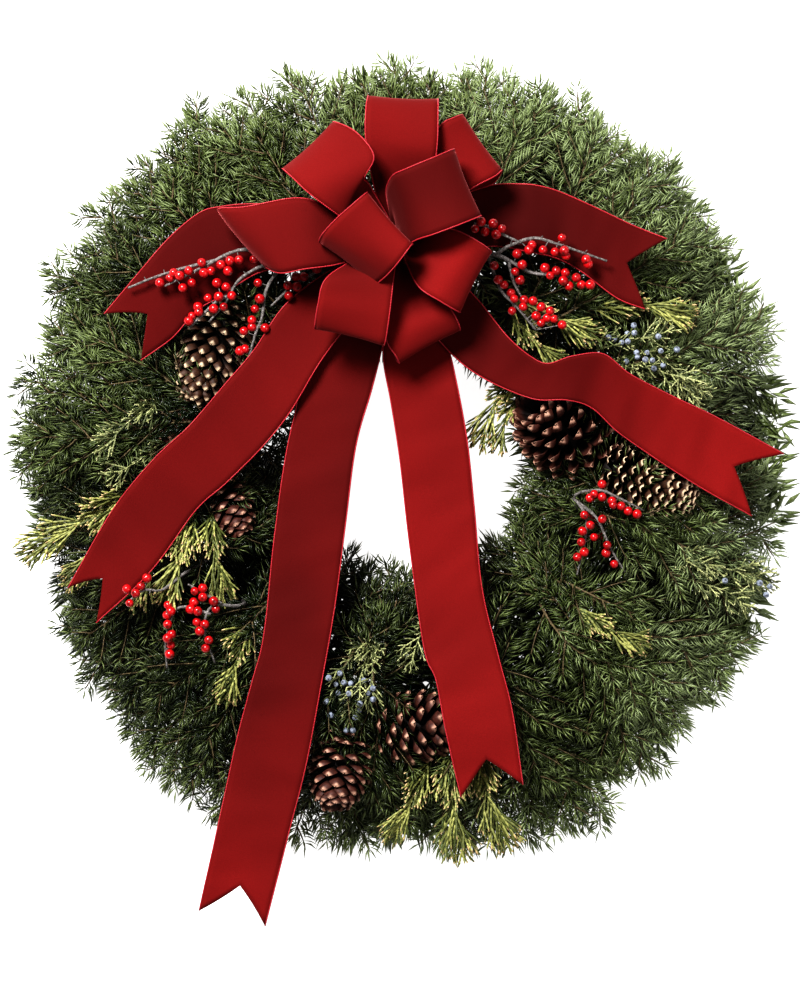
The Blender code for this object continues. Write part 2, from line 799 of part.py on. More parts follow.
def build_twig(twig):
    """A spray's stems and berries fused together."""
    look = material("winterberry", BERRY_RED, 0.25)
    routes = twig_routes(twig)
    grown = []
    for i, route in enumerate(routes):
        runs = stem_runs(route)
        radii = [TWIG_STEM_R * lerp(1.3 if i == 0 else 1.0, 0.6, r / route.length) for r in runs]
        bm = bmesh.new()
        tube(bm, route, runs, radii, 3)
        grown.append(add_object(f"{twig.name}_stem_{i}", bm, look))
    samples = [dot for route in routes for dot in stem_dots(route)]
    for i, (px, py) in enumerate(twig.berries):
        near = min(samples, key=lambda p: (spot(px, py, p.z).xy - p.xy).length)
        aside = spot(px, py, near.z) - near
        aside.z = 0.3 * aside.length
        away = aside.normalized() * BERRY_R * 0.8
        grown.append(berry(f"{twig.name}_berry_{i}", near + away, BERRY_R, look))
    base = grown.pop(0)
    base.name = twig.name
    base.data.name = twig.name
    return fuse(base, grown)


@dataclass(frozen=True)
class Tail:
    """A ribbon tail: its middle line as (px, py, height in mm, roll in degrees), bow end first."""

    name: str
    line: tuple
    pinch: float = 0.34


TAILS = (
    Tail("tail_upper_left", (
        (388, 240, 98.4, 0), (330, 238, 97.4, 0), (270, 240, 93.4, 6), (226, 247, 92, 8),
        (190, 276, 92, 8), (154, 307, 90, 4), (122, 338, 87, 0))),
    Tail("tail_upper_right", (
        (412, 237, 98.4, 0), (450, 225, 98.1, -1), (496, 216, 98, -16), (534, 215, 98.6, -9),
        (589, 240, 97, 3), (627, 261, 96.2, 1), (655, 273, 96, -5))),
    Tail("tail_right", (
        (412, 254, 99.8, 0), (433, 288, 99.8, 0), (462, 322, 99.8, 2), (500, 358, 101, 14),
        (545, 383, 105, 22), (592, 386, 109, 16), (632, 404, 107, 8), (690, 446, 98, 0), (768, 485, 90, -6))),
    Tail("tail_down_right", (
        (401, 252, 98.4, 0), (407, 300, 98.2, 0), (419, 360, 94, 0), (432, 430, 90, 4), (440, 510, 88, 2),
        (452, 590, 90, -6), (468, 670, 96, -4), (482, 730, 99, 4), (492, 791, 96, 0))),
    Tail("tail_down_left", (
        (394, 251, 97.0, 0), (376, 300, 95, 0), (345, 380, 88, 0), (322, 450, 86, 0), (308, 530, 86, -6),
        (300, 610, 88, 4), (281, 700, 90, 0), (260, 790, 88, -4), (246, 850, 86, 0), (232, 919, 80, 6))),
    Tail("tail_lower_left", (
        (388, 252, 99.8, 0), (350, 284, 99.8, 0), (304, 326, 98.6, 6), (262, 380, 95, 22), (226, 436, 94, 20),
        (176, 494, 93, 14), (130, 548, 92, 4), (82, 606, 86, -4))),
)


def tail_route(tail):
    """The line through a tail's places."""
    return Route([spot(px, py, z * MM) for px, py, z, _ in tail.line])


def ribbon_stations(tail, count):
    """Middle, heading and across direction at even steps along a tail, and its width there."""
    route = tail_route(tail)
    marks = [route.runs[ROUTE_FINE * i] for i in range(len(tail.line))]
    stations = []
    for i in range(count + 1):
        run = route.length * i / count
        ahead = route.heading(run)
        across = ahead.cross(Vector((0, 0, 1))).normalized()
        roll = math.radians(roll_at(tail, marks, run))
        across = Matrix.Rotation(roll, 3, ahead) @ across
        spread = lerp(tail.pinch, 1.0, smoothstep(run / (66 * MM)))
        stations.append((route.at(run), ahead, across, RIBBON_W * spread))
    return stations


def roll_at(tail, marks, run):
    """The roll at a run, eased between the places where it is stated."""
    for i, (a, b) in enumerate(zip(marks, marks[1:])):
        if run <= b:
            return lerp(tail.line[i][3], tail.line[i + 1][3], smoothstep((run - a) / (b - a)))
    return tail.line[-1][3]


def build_tail(tail):
    """A closed strip with a V cut out of its end, its top and underside split from middle to edge."""
    stations = ribbon_stations(tail, round(tail_route(tail).length / TAIL_STEP))
    bm = bmesh.new()
    rings = []
    for i, (middle, ahead, across, width) in enumerate(stations):
        face = across.cross(ahead).normalized() * RIBBON_T / 2
        back = -ahead * NOTCH if i == len(stations) - 1 else Vector((0, 0, 0))
        row = [middle - across * width / 2, middle + back, middle + across * width / 2]
        rings.append([bm.verts.new(p + face) for p in row] + [bm.verts.new(p - face) for p in reversed(row)])
    for low, high in zip(rings, rings[1:]):
        for k in range(6):
            a, b, c, d = low[k], low[(k + 1) % 6], high[(k + 1) % 6], high[k]
            halves = ((a, b, d), (b, c, d)) if k in (0, 3) else ((a, b, c), (a, c, d))
            for corners in halves:
                bm.faces.new(corners)
    for ring in (rings[0], rings[-1]):
        for a, b, c, d in ((0, 1, 4, 5), (1, 2, 3, 4)):
            bm.faces.new((ring[a], ring[b], ring[c], ring[d]))
    return add_object(tail.name, bm, material("red_velvet", VELVET_RED, 0.8))


def tail_rooms(tail):
    """Room kept round a tail."""
    stations = ribbon_stations(tail, 24)
    slabs = []
    for low, high in zip(stations, stations[1:]):
        middle = (low[0] + high[0]) / 2
        along = (high[0] - low[0]).normalized()
        across = (low[2] - along * low[2].dot(along)).normalized()
        half = (high[0] - low[0]).length / 2 + 2 * MM
        slabs.append(Slab(middle, along, across, half, low[3] / 2 + 2 * MM))
    return slabs


@dataclass(frozen=True)
class Loop:
    """A bow loop: the two ends of its fold in the photograph, its height, opening and root height."""

    fold: tuple
    z: float
    opening: float
    root: float


LOOPS = (
    Loop(((366, 96), (437, 98)), 128, 34, 112),
    Loop(((283, 170), (335, 122)), 150, 38, 116),
    Loop(((462, 115), (502, 171)), 126, 32, 110),
    Loop(((222, 212), (266, 267)), 128, 34, 112),
    Loop(((315, 328), (384, 345)), 142, 36, 114),
    Loop(((400, 364), (460, 329)), 124, 28, 110),
    Loop(((491, 249), (460, 312)), 146, 38, 115),
    Loop(((423, 160), (450, 228)), 176, 60, 122),
    Loop(((347, 212), (394, 264)), 186, 50, 124),
)
LOOP_SEGMENTS = 8
LAYER_LIFT = 2.5 * MM


def loop_sections(loop, segments):
    """Middle, across direction and width along a loop: a teardrop out from the knot and back.

    Along it, the distance out is (1 - cos a) / 2 of its length and the layers stand apart by
    sin a times sin a/2, for a from 0 to a full turn.
    """
    ends = [spot(px, py, loop.z * MM) for px, py in loop.fold]
    root = Vector((KNOT.x, KNOT.y, loop.root * MM))
    out = (ends[0] + ends[1]) / 2 - root
    fold = (ends[1] - ends[0]).normalized()
    length = out.length
    out.normalize()
    away = out.cross(fold).normalized()
    away = -away if away.z < 0 else away
    square = away.cross(out)
    square = -square if square.dot(fold) < 0 else square
    sections = []
    for i in range(segments + 1):
        a = lerp(0.0, math.tau, i / segments)
        share = (1 - math.cos(a)) / 2
        apart = 0.65 * loop.opening * MM * math.sin(a) * math.sin(a / 2) + LAYER_LIFT * math.cos(a / 2)
        middle = root + out * length * share + away * apart
        across = lerp(square, fold, smoothstep(share)).normalized()
        width = RIBBON_W * lerp(0.26, 1.0, smoothstep(share / 0.6))
        sections.append((middle, across, width))
    return sections


def build_bow():
    """Nine loops of one ribbon, fused where the tie pinches them into a knot."""
    look = material("red_velvet", VELVET_RED, 0.8)
    bm = bmesh.new()
    bmesh.ops.create_cone(bm, cap_ends=True, segments=8, radius1=KNOT_BASE_R, radius2=KNOT_R,
                          depth=2 * (KNOT_Z - KNOT_LOW), matrix=Matrix.Translation(KNOT))
    knot = add_object("bow_loops", bm, look)
    strips = []
    for index, loop in enumerate(LOOPS):
        sections = loop_sections(loop, LOOP_SEGMENTS)
        bm = bmesh.new()
        rings = []
        for i, (middle, across, width) in enumerate(sections):
            before = sections[max(i - 1, 0)][0]
            after = sections[min(i + 1, len(sections) - 1)][0]
            face = across.cross((after - before).normalized()).normalized() * RIBBON_T / 2
            left, right = middle - across * width / 2, middle + across * width / 2
            rings.append([bm.verts.new(p) for p in (left + face, right + face, right - face, left - face)])
        for low, high in zip(rings, rings[1:]):
            for k in range(4):
                bm.faces.new((low[k], low[(k + 1) % 4], high[(k + 1) % 4], high[k]))
        bm.faces.new(rings[0][::-1])
        bm.faces.new(rings[-1])
        strips.append(add_object(f"loop_{index}", bm, look))
    return fuse(knot, strips)


def tie_route():
    """From under the knot straight down between the tails, then out over the outer ring wire."""
    angle = math.atan2(KNOT.y - RING.y, KNOT.x - RING.x)
    out = math.hypot(KNOT.y - RING.y, KNOT.x - RING.x)
    rest = RING_WIRE + GAP + TIE_WIRE / 2
    return [
        around(angle, out, 0, KNOT_LOW - GAP),
        around(angle, out, 0, rest + 6 * MM),
        around(angle, out + 4 * MM, 0, rest),
        around(angle, OUTER_RING_R + 1 * MM, 0, rest),
    ]


def build_tie():
    """The wire that pinches the bow and holds it down to the ring."""
    places = tie_route()
    bm = bmesh.new()
    rings = []
    side = (places[-1] - places[-2]).normalized().cross(Vector((0, 0, 1)))
    for i, place in enumerate(places):
        before = places[max(i - 1, 0)]
        after = places[min(i + 1, len(places) - 1)]
        ahead = (after - before).normalized()
        other = side.cross(ahead)
        ring = []
        for k in range(4):
            angle = math.pi / 4 + k * math.pi / 2
            out = side * math.cos(angle) + other * math.sin(angle)
            ring.append(bm.verts.new(place + out * TIE_WIRE / math.sqrt(2)))
        rings.append(ring)
    for low, high in zip(rings, rings[1:]):
        for k in range(4):
            bm.faces.new((low[k], low[(k + 1) % 4], high[(k + 1) % 4], high[k]))
    bm.faces.new(rings[0][::-1])
    bm.faces.new(rings[-1])
    return add_object("bow_tie_wire", bm, material("green_wire", WIRE_GREEN, 0.45, 0.6))


def fir_plans(reach, draw):
    """Places (out, aside, height) in mm of each frond of a bundle, and its bare length, butt first."""
    plans = []
    for start, end, rise in ((-26, -48, 24), (22, 46, 32)):
        end += draw.uniform(-5, 5)
        tip = reach + draw.uniform(-12, 4) - 14
        out = math.sqrt(tip * tip - end * end)
        low = rise + draw.uniform(-3, 3)
        plans.append((OUTER_BARE, (
            (191, start, 12),
            (222, lerp(start, end, 0.3), 0.5 * (12 + low)),
            (lerp(222, out, 0.5), lerp(start, end, 0.7), low),
            (out, end, low - 6),
        )))
    aside = draw.uniform(-7, 7)
    tip = reach - draw.uniform(16, 34)
    plans.append((INNER_BARE, ((191, 8, 14), (204, 6 + aside, 42), (250, aside, 60), (tip, aside, 48))))
    plans.append((INNER_BARE, ((191, -14, 14), (180, -12, 38), (152, aside, 50), (106, 0.5 * aside, 40))))
    plans.append((INNER_BARE, ((191, 24, 12), (180, 26, 26), (160, 25, 30), (126, 18, 26))))
    return plans


def clear_route(plan, bare, angle, room):
    """The plan shifted a little aside or up where that lets its stem run further."""
    best = None
    for shift in (0, 10, -10, 20, -20):
        for lift in (0, -10, 10):
            places = []
            for k, (out, aside, z) in enumerate(plan):
                part = k / (len(plan) - 1)
                places.append((out, aside + shift * lerp(0.5, 1, part), z + lift * min(2 * part, 1)))
            route = Route([around(angle, u * MM, v * MM, z * MM) for u, v, z in places])
            reach = room.clear_length(route, 3.5 * MM, 12 * MM)
            if not room.line_clear(lerp(route.at(0), route.at(bare), 0.12), route.at(bare), 2.2 * MM):
                reach = 0
            if best is None or reach > best[1] + 4 * MM:
                best = (route, reach)
    return best


def build_bundle(index, keep_out):
    """Fir tips bound at their butts in one clamp: a core of stems and the twigs that leave it."""
    look = material("fir", NEEDLE_GREEN, 0.55)
    angle = FIRST_SECTOR + index * SECTOR_STEP
    draw = random.Random(100 + index)
    room = Room(keep_out, FIR_TOP, angle)
    arc = [around(angle + CORE_HALF_ARC * t, CORE_MID_R, 0, CORE_Z) for t in (-1, -0.5, 0, 0.5, 1)]
    core = Route(arc)
    bm = bmesh.new()
    flat = CORE_R / math.cos(math.pi / 6)
    tube(bm, core, even_runs(core, 3), [flat * CORE_TAPER, flat, flat, flat * CORE_TAPER], 6, 0)
    base = add_object(f"fir_bundle_{index + 1:02d}", bm, look)
    twigs = []
    for i, (bare, plan) in enumerate(fir_plans(FIR_REACH_MM[index], draw)):
        route, reach = clear_route(plan, bare, angle, room)
        if reach < bare + 16 * MM:
            continue
        twigs.append(leafy_stem(f"{base.name}_twig_{i}", route, reach, bare, FIR, room, look))
    return fuse(base, twigs)


def clamp_rooms():
    """Room kept round each clamp's prongs."""
    rooms = []
    for index in range(SECTORS):
        angle = FIRST_SECTOR + index * SECTOR_STEP
        for out in (INNER_RING_R, OUTER_RING_R):
            foot, head = around(angle, out, 0, 0), around(angle, out, 0, CORE_TOP)
            rooms.append(Capsule(foot, head, CLAMP_WIRE))
        over = CORE_TOP + CLAMP_WIRE / 2
        inner, outer = around(angle, INNER_RING_R, 0, over), around(angle, OUTER_RING_R, 0, over)
        rooms.append(Capsule(inner, outer, CLAMP_WIRE))
    return rooms


def main():
    for thing in list(bpy.data.objects):
        bpy.data.objects.remove(thing)
    build_frame()
    build_hanger()
    build_tie()
    keep_out = clamp_rooms()
    places = tie_route()
    keep_out += [Capsule(a, b, TIE_WIRE) for a, b in zip(places, places[1:])]
    for tail in TAILS:
        build_tail(tail)
        keep_out += tail_rooms(tail)
    build_bow()
    for cone in CONES:
        build_cone(cone)
        keep_out.append(cone_room(cone))
        pick = cone_pick(cone)
        keep_out += stem_rooms(pick, (0, pick.runs[ROUTE_FINE], pick.length), 2 * MM)
    for twig in TWIGS:
        build_twig(twig)
        for route in twig_routes(twig):
            keep_out += stem_rooms(route, stem_runs(route), 2.2 * MM)
        for px, py in twig.berries:
            keep_out.append(Capsule(spot(px, py, 74 * MM), spot(px, py, 92 * MM), 1.6 * BERRY_R))
    for sprig in SPRIGS:
        build_sprig(sprig, keep_out)
        for route in sprig_routes(sprig):
            bare = sprig_bare(route)
            keep_out += stem_rooms(route, (0, FOOT_RISE.z, bare), 2.6 * MM)
            leafy = [lerp(bare, route.length, t / 8) for t in range(9)]
            keep_out += stem_rooms(route, leafy, sprig.leafing.spread() + MM)
    for index in range(SECTORS):
        build_bundle(index, keep_out)


main()
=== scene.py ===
"""Looks of the christmas wreath: foliage, cones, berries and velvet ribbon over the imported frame.

Places are given in pixels of the photograph with a height in millimetres, and Photo.places turns
them into metres. Every growing thing is made of whole numpy arrays: bent twigs are quadratic
curves, and needles, leaf strands, scales and berries are placed along them by a seeded rule.
"""
import logging
import math
from dataclasses import dataclass, field
from enum import Enum

import bpy
import numpy as np
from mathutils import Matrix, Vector


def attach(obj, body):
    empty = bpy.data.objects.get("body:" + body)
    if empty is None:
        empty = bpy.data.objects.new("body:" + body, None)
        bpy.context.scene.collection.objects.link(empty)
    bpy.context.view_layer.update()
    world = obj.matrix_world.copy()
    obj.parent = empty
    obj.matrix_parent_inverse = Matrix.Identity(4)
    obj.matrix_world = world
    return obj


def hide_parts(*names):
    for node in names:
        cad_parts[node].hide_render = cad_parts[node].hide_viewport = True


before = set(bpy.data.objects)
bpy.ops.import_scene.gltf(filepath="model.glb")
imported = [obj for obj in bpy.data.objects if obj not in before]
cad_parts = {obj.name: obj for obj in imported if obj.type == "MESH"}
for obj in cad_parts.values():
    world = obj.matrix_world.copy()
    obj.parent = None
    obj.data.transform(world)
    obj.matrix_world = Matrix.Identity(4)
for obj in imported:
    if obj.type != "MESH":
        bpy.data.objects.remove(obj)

LOG = logging.getLogger("wreath")
MM = 0.001
UP = np.array([0.0, 0.0, 1.0])
GOLDEN = math.pi * (3 - math.sqrt(5))

# The ring: clamps at even angles from the first, each round a bundle on a circle of this radius in mm.
CLAMPS = 12
FIRST_CLAMP = math.radians(107.6)
BUNDLE_RADIUS = 191.0
BUNDLE_TOP = 20.4

Colour = tuple[float, float, float]
Place = tuple[float, float, float]
Pixel = tuple[float, float]
Look = bpy.types.Material
Socket = bpy.types.NodeSocket


@dataclass(frozen=True)
class Photo:
    """The photograph's scale: metres a pixel on the table, seen from straight above one pixel."""

    pixel: float = 0.0009
    centre: Pixel = (400.0, 500.0)
    origin: Pixel = (400.0, 486.0)
    ring: Pixel = (410.0, 462.0)
    height: float = 3.0

    def places(self, rows: np.ndarray) -> np.ndarray:
        """Turn rows of pixel x, pixel y and height in mm into metres.

        Args:
            rows: array whose last axis is (x, y, height in mm).

        Returns:
            Array of the same shape in metres; what stands nearer the camera shows larger.
        """
        rows = np.asarray(rows, float)
        z = rows[..., 2] * MM
        nearer = 1 - z / self.height
        x = (self.centre[0] - self.origin[0]) + (rows[..., 0] - self.centre[0]) * nearer
        y = (self.origin[1] - self.centre[1]) + (self.centre[1] - rows[..., 1]) * nearer
        return np.stack([x * self.pixel, y * self.pixel, z], -1)


PHOTO = Photo()
RING = PHOTO.places([*PHOTO.ring, 0.0])


def unit(vectors: np.ndarray) -> np.ndarray:
    """Vectors of length one along the last axis."""
    return vectors / np.maximum(np.linalg.norm(vectors, axis=-1, keepdims=True), 1e-12)


def ease(t: np.ndarray) -> np.ndarray:
    """Smooth step from 0 to 1."""
    t = np.clip(t, 0, 1)
    return t * t * (3 - 2 * t)


def shared_out(counts: np.ndarray, rng: np.random.Generator) -> tuple[np.ndarray, np.ndarray, np.ndarray]:
    """Share things out along several curves, at nearly even steps.

    Args:
        counts: how many things each curve carries.
        rng: seeded source of the small shifts.

    Returns:
        For each thing its curve, its number on that curve, and its share of the way along it.
    """
    which = np.repeat(np.arange(len(counts)), counts)
    order = np.arange(len(which)) - np.repeat(np.cumsum(counts) - counts, counts)
    return which, order, (order + 0.3 + 0.4 * rng.random(len(which))) / counts[which]


def around(angle: float, out: float, aside: float, z: float) -> np.ndarray:
    """A place on the ring in metres, from mm out of its centre, mm aside and mm up."""
    c, s = math.cos(angle), math.sin(angle)
    return RING + np.array([out * c - aside * s, out * s + aside * c, z]) * MM


def over_bundle(place: np.ndarray, out: float = BUNDLE_RADIUS, z: float = BUNDLE_TOP) -> np.ndarray:
    """The point over the bound stems that lies in a place's direction from the ring's middle.

    Args:
        place: a place in metres.
        out: the point's distance from the ring's middle in mm.
        z: its height in mm.

    Returns:
        The point in metres.
    """
    away = place - RING
    return around(math.atan2(away[1], away[0]), out, 0, z)


def nearest(places: np.ndarray, dots: np.ndarray) -> np.ndarray:
    """For each place the nearest dot, seen from above."""
    return dots[np.argmin(np.linalg.norm(places[:, None, :2] - dots[None, :, :2], axis=-1), axis=1)]


def through(places: np.ndarray, count: int) -> np.ndarray:
    """Even points on a Catmull-Rom line.

    Args:
        places: (m, k) rows that it passes through, whose first three columns are the place.
        count: how many points.

    Returns:
        (count, k) rows at even steps of the line's length.
    """
    places = np.asarray(places, float)
    ends = np.concatenate([2 * places[:1] - places[1:2], places, 2 * places[-1:] - places[-2:-1]])
    t = np.linspace(0, 1, 17)[None, :-1, None]
    a, b, c, d = (ends[k:len(ends) - 3 + k, None] for k in range(4))
    fine = b + 0.5 * ((c - a) * t + (2 * a - 5 * b + 4 * c - d) * t**2 + (3 * (b - c) + d - a) * t**3)
    fine = np.concatenate([fine.reshape(-1, places.shape[1]), places[-1:]])
    run = np.concatenate([[0], np.cumsum(np.linalg.norm(np.diff(fine[:, :3], axis=0), axis=1))])
    want = np.linspace(0, run[-1], count)
    return np.stack([np.interp(want, run, fine[:, k]) for k in range(fine.shape[1])], 1)


class Soup:
    """Points, faces and values of one piece, gathered before its mesh is made."""

    def __init__(self) -> None:
        """Start empty."""
        self.points: list[np.ndarray] = []
        self.faces: list[np.ndarray] = []
        self.slots: list[np.ndarray] = []
        self.values: list[dict[str, np.ndarray]] = []
        self.count = 0

    def add(self, points: np.ndarray, faces: list[np.ndarray], slot: int = 0, **values: np.ndarray) -> None:
        """Add points with their faces.

        Args:
            points: (n, 3) places in metres.
            faces: index arrays, each (m, corners).
            slot: material slot of these faces.
            values: per-point numbers that the materials read.
        """
        points = points.reshape(-1, 3)
        for block in faces:
            self.faces.append(block + self.count)
            self.slots.append(np.full(len(block), slot))
        self.points.append(points)
        self.values.append({k: np.broadcast_to(v, len(points)) for k, v in values.items()})
        self.count += len(points)

    def lay(self, press: "Press") -> None:
        """Keep every point over the table and under the ribbons that lie on it."""
        self.points = [press.lower(points) for points in self.points]

    def stand_in(self, name: str, looks: list[Look], node: str) -> bpy.types.Object:
        """Make the piece's object in a CAD node's stead.

        Args:
            name: the piece's name.
            looks: its materials, in the order of the slots.
            node: the CAD node that it stands for.

        Returns:
            The object, riding on the wreath's one body.
        """
        piece = self.build(name, looks)
        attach(piece, "root")
        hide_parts(node)
        return piece

    def build(self, name: str, looks: list[Look]) -> bpy.types.Object:
        """Make the piece's object, smooth shaded, with its values as point attributes.

        Args:
            name: the piece's name.
            looks: its materials, in the order of the slots.

        Returns:
            The object, at the origin.
        """
        mesh = bpy.data.meshes.new(name)
        points = np.concatenate(self.points)
        sizes = np.concatenate([np.full(len(f), f.shape[1]) for f in self.faces])
        corners = np.concatenate([f.ravel() for f in self.faces]).astype(np.int32)
        mesh.vertices.add(len(points))
        mesh.vertices.foreach_set("co", points.ravel().astype(np.float32))
        mesh.loops.add(len(corners))
        mesh.polygons.add(len(sizes))
        starts = np.concatenate([[0], np.cumsum(sizes)[:-1]]).astype(np.int32)
        mesh.polygons.foreach_set("loop_start", starts)
        mesh.polygons.foreach_set("vertices", corners)
        mesh.polygons.foreach_set("material_index", np.concatenate(self.slots).astype(np.int32))
        mesh.polygons.foreach_set("use_smooth", np.ones(len(sizes), bool))
        for key in sorted({k for v in self.values for k in v}):
            data = [v.get(key, np.zeros(len(p))) for v, p in zip(self.values, self.points)]
            mesh.attributes.new(key, "FLOAT", "POINT").data.foreach_set(
                "value", np.concatenate(data).astype(np.float32))
        mesh.update(calc_edges=True)
        for look in looks:
            mesh.materials.append(look)
        piece = bpy.data.objects.new(name, mesh)
        bpy.context.scene.collection.objects.link(piece)
        return piece


@dataclass
class Press:
    """How the ribbons weigh down what grows under them: their lowest height in small squares.

    The squares have sides of cell metres and cover reach metres each way from the middle. Cloth
    has a gap clear under it, the table a smaller one over it, and clear is the height of a square
    with nothing on top.
    """

    cell: float = 5 * MM
    reach: float = 0.5
    gap: float = 2.2 * MM
    table: float = 0.3 * MM
    clear: float = 1.0
    limit: np.ndarray = field(init=False)

    def __post_init__(self) -> None:
        """Start with nothing on top."""
        size = int(2 * self.reach / self.cell) + 1
        self.limit = np.full((size, size), self.clear)

    def squares(self, points: np.ndarray) -> tuple[np.ndarray, np.ndarray]:
        """The squares that points lie in."""
        index = np.clip(((points[:, :2] + self.reach) / self.cell).astype(int), 0, len(self.limit) - 1)
        return index[:, 0], index[:, 1]

    def cover(self, surface: np.ndarray) -> None:
        """Note a ribbon's surface, read at thirds of its faces.

        Args:
            surface: a grid of points (columns, rows, 3).
        """
        for a in (0.0, 0.34, 0.67):
            for b in (0.0, 0.34, 0.67):
                fine = ((surface[:-1, :-1] * (1 - a) + surface[1:, :-1] * a) * (1 - b)
                        + (surface[:-1, 1:] * (1 - a) + surface[1:, 1:] * a) * b).reshape(-1, 3)
                np.minimum.at(self.limit, self.squares(fine), fine[:, 2])

    def covered(self, points: np.ndarray) -> np.ndarray:
        """Which points lie under a ribbon."""
        return self.limit[self.squares(points)] < self.clear

    def lower(self, points: np.ndarray) -> np.ndarray:
        """Points with their height kept between the table and the cloth."""
        height = np.clip(points[:, 2], self.table, self.limit[self.squares(points)] - self.gap)
        return np.column_stack([points[:, :2], height])


def frames(lines: np.ndarray, up: np.ndarray) -> tuple[np.ndarray, np.ndarray, np.ndarray]:
    """Directions along lines, as square to an up direction as can be.

    Args:
        lines: (k, m, 3) points.
        up: (k, 3) directions.

    Returns:
        The heading, the side and the up direction at each point.
    """
    ahead = unit(np.gradient(lines, axis=1))
    upward = np.broadcast_to(up[:, None, :], lines.shape)
    steep = np.abs(np.sum(ahead.mean(1) * up, -1)) > 0.9
    spare = np.where(np.abs(up[:, :1]) > 0.5, [[0.0, 1.0, 0.0]], [[1.0, 0.0, 0.0]])
    upward = np.where(steep[:, None, None], spare[:, None, :], upward)
    side = unit(np.cross(ahead, upward))
    return ahead, side, np.cross(side, ahead)


def add_tubes(soup: Soup, lines: np.ndarray, radii: np.ndarray, sides: int, slot: int = 0,
              up: np.ndarray | None = None, flat: float = 1.0, **values: np.ndarray) -> None:
    """Add closed tubes along lines: rings of points at each radius, joined by quads and capped.

    Args:
        soup: the piece that is being made.
        lines: (k, m, 3) middle lines.
        radii: (k, m) radii in metres.
        sides: corners of each ring.
        slot: material slot.
        up: (k, 3) directions that the flat way faces.
        flat: height of a ring as a share of its width.
        values: (k, m) numbers spread over each ring.
    """
    k, m = lines.shape[:2]
    up = np.tile(UP, (k, 1)) if up is None else up
    _, side, high = frames(lines, up)
    turn = (np.arange(sides) + 0.5) * math.tau / sides
    out = side[:, :, None] * np.cos(turn)[:, None] + high[:, :, None] * np.sin(turn)[:, None] * flat
    points = lines[:, :, None] + out * radii[:, :, None, None]
    index = np.arange(k * m * sides).reshape(k, m, sides)
    low, high_ring = index[:, :-1], index[:, 1:]
    quads = np.stack([low, np.roll(low, -1, 2), np.roll(high_ring, -1, 2), high_ring], -1).reshape(-1, 4)
    flags = {key: np.repeat(np.broadcast_to(v, (k, m)).reshape(-1), sides) for key, v in values.items()}
    soup.add(points, [quads, index[:, 0, ::-1], index[:, -1]], slot, **flags)


@dataclass
class Twigs:
    """Bent twigs as quadratic curves from start over bend to end, each with an up direction."""

    start: np.ndarray
    bend: np.ndarray
    end: np.ndarray
    up: np.ndarray
    rank: np.ndarray

    def at(self, which: np.ndarray, t: np.ndarray) -> np.ndarray:
        """Places on the curves."""
        t = t[..., None]
        return (1 - t)**2 * self.start[which] + 2 * t * (1 - t) * self.bend[which] + t**2 * self.end[which]

    def heading(self, which: np.ndarray, t: np.ndarray) -> np.ndarray:
        """Directions along the curves.

        Args:
            which: the curve of each place.
            t: its share of the way along.

        Returns:
            Unit vectors.
        """
        t = t[..., None]
        first, second = self.bend[which] - self.start[which], self.end[which] - self.bend[which]
        return unit((1 - t) * first + t * second)

    def lengths(self) -> np.ndarray:
        """Rough lengths of the curves.

        Returns:
            For each the mean of its chord and of its two legs.
        """
        chord = np.linalg.norm(self.end - self.start, axis=1)
        legs = np.linalg.norm(self.bend - self.start, axis=1) + np.linalg.norm(self.end - self.bend, axis=1)
        return (chord + legs) / 2

    def lines(self, count: int) -> np.ndarray:
        """Points along every curve, (k, count, 3)."""
        which = np.repeat(np.arange(len(self.start))[:, None], count, 1)
        return self.at(which, np.broadcast_to(np.linspace(0, 1, count), which.shape))

    @staticmethod
    def joined(groups: list["Twigs"]) -> "Twigs":
        """Several groups as one."""
        names = ("start", "bend", "end", "up", "rank")
        return Twigs(*(np.concatenate([getattr(g, n) for g in groups]) for n in names))

    def branched(self, rng: np.random.Generator, pitch: float, angle: float, longest: float,
                 share: float, first: float = 0.1, lift: float = 0.15, twist: float = 0.2) -> "Twigs":
        """Side twigs that leave each curve to the left and right in turn, shorter towards its tip.

        Args:
            rng: seeded source of the small differences.
            pitch: distance between side twigs in metres.
            angle: angle to the parent in radians.
            longest: greatest length in metres.
            share: length as a share of what is left of the parent.
            first: share of the parent that stays bare.
            lift: how far the side twigs rise out of the parent's plane.
            twist: how unevenly they turn about the parent, in radians.

        Returns:
            The side twigs, one rank higher.
        """
        lengths = self.lengths()
        counts = np.maximum(((1 - first) * lengths / pitch).astype(int), 1)
        which, order, way = shared_out(counts, rng)
        t = first + way * (0.97 - first)
        place, ahead = self.at(which, t), self.heading(which, t)
        hand = np.where(order % 2 == 0, 1.0, -1.0)
        side = unit(np.cross(ahead, self.up[which])) * hand[:, None]
        upward = unit(np.cross(np.cross(ahead, self.up[which]), ahead))
        roll = twist * rng.normal(size=len(which))
        out = side * np.cos(roll)[:, None] + upward * (np.sin(roll) + lift)[:, None]
        lean = angle * (1 + 0.12 * rng.normal(size=len(which)))
        aim = unit(ahead * np.cos(lean)[:, None] + unit(out) * np.sin(lean)[:, None])
        size = np.minimum(longest, share * (1 - t) * lengths[which] + 0.22 * longest)
        size = (size * (0.82 + 0.3 * rng.random(len(which))))[:, None]
        end_aim = unit(aim + 0.35 * ahead)
        return Twigs(place, place + aim * size * 0.5, place + (aim + end_aim) * size * 0.5,
                     self.up[which], self.rank[which] + 1)


SPINDLE_FACES = np.array([[0, 2, 1], [0, 3, 2], [0, 1, 3], [1, 2, 4], [2, 3, 4], [3, 1, 4]])


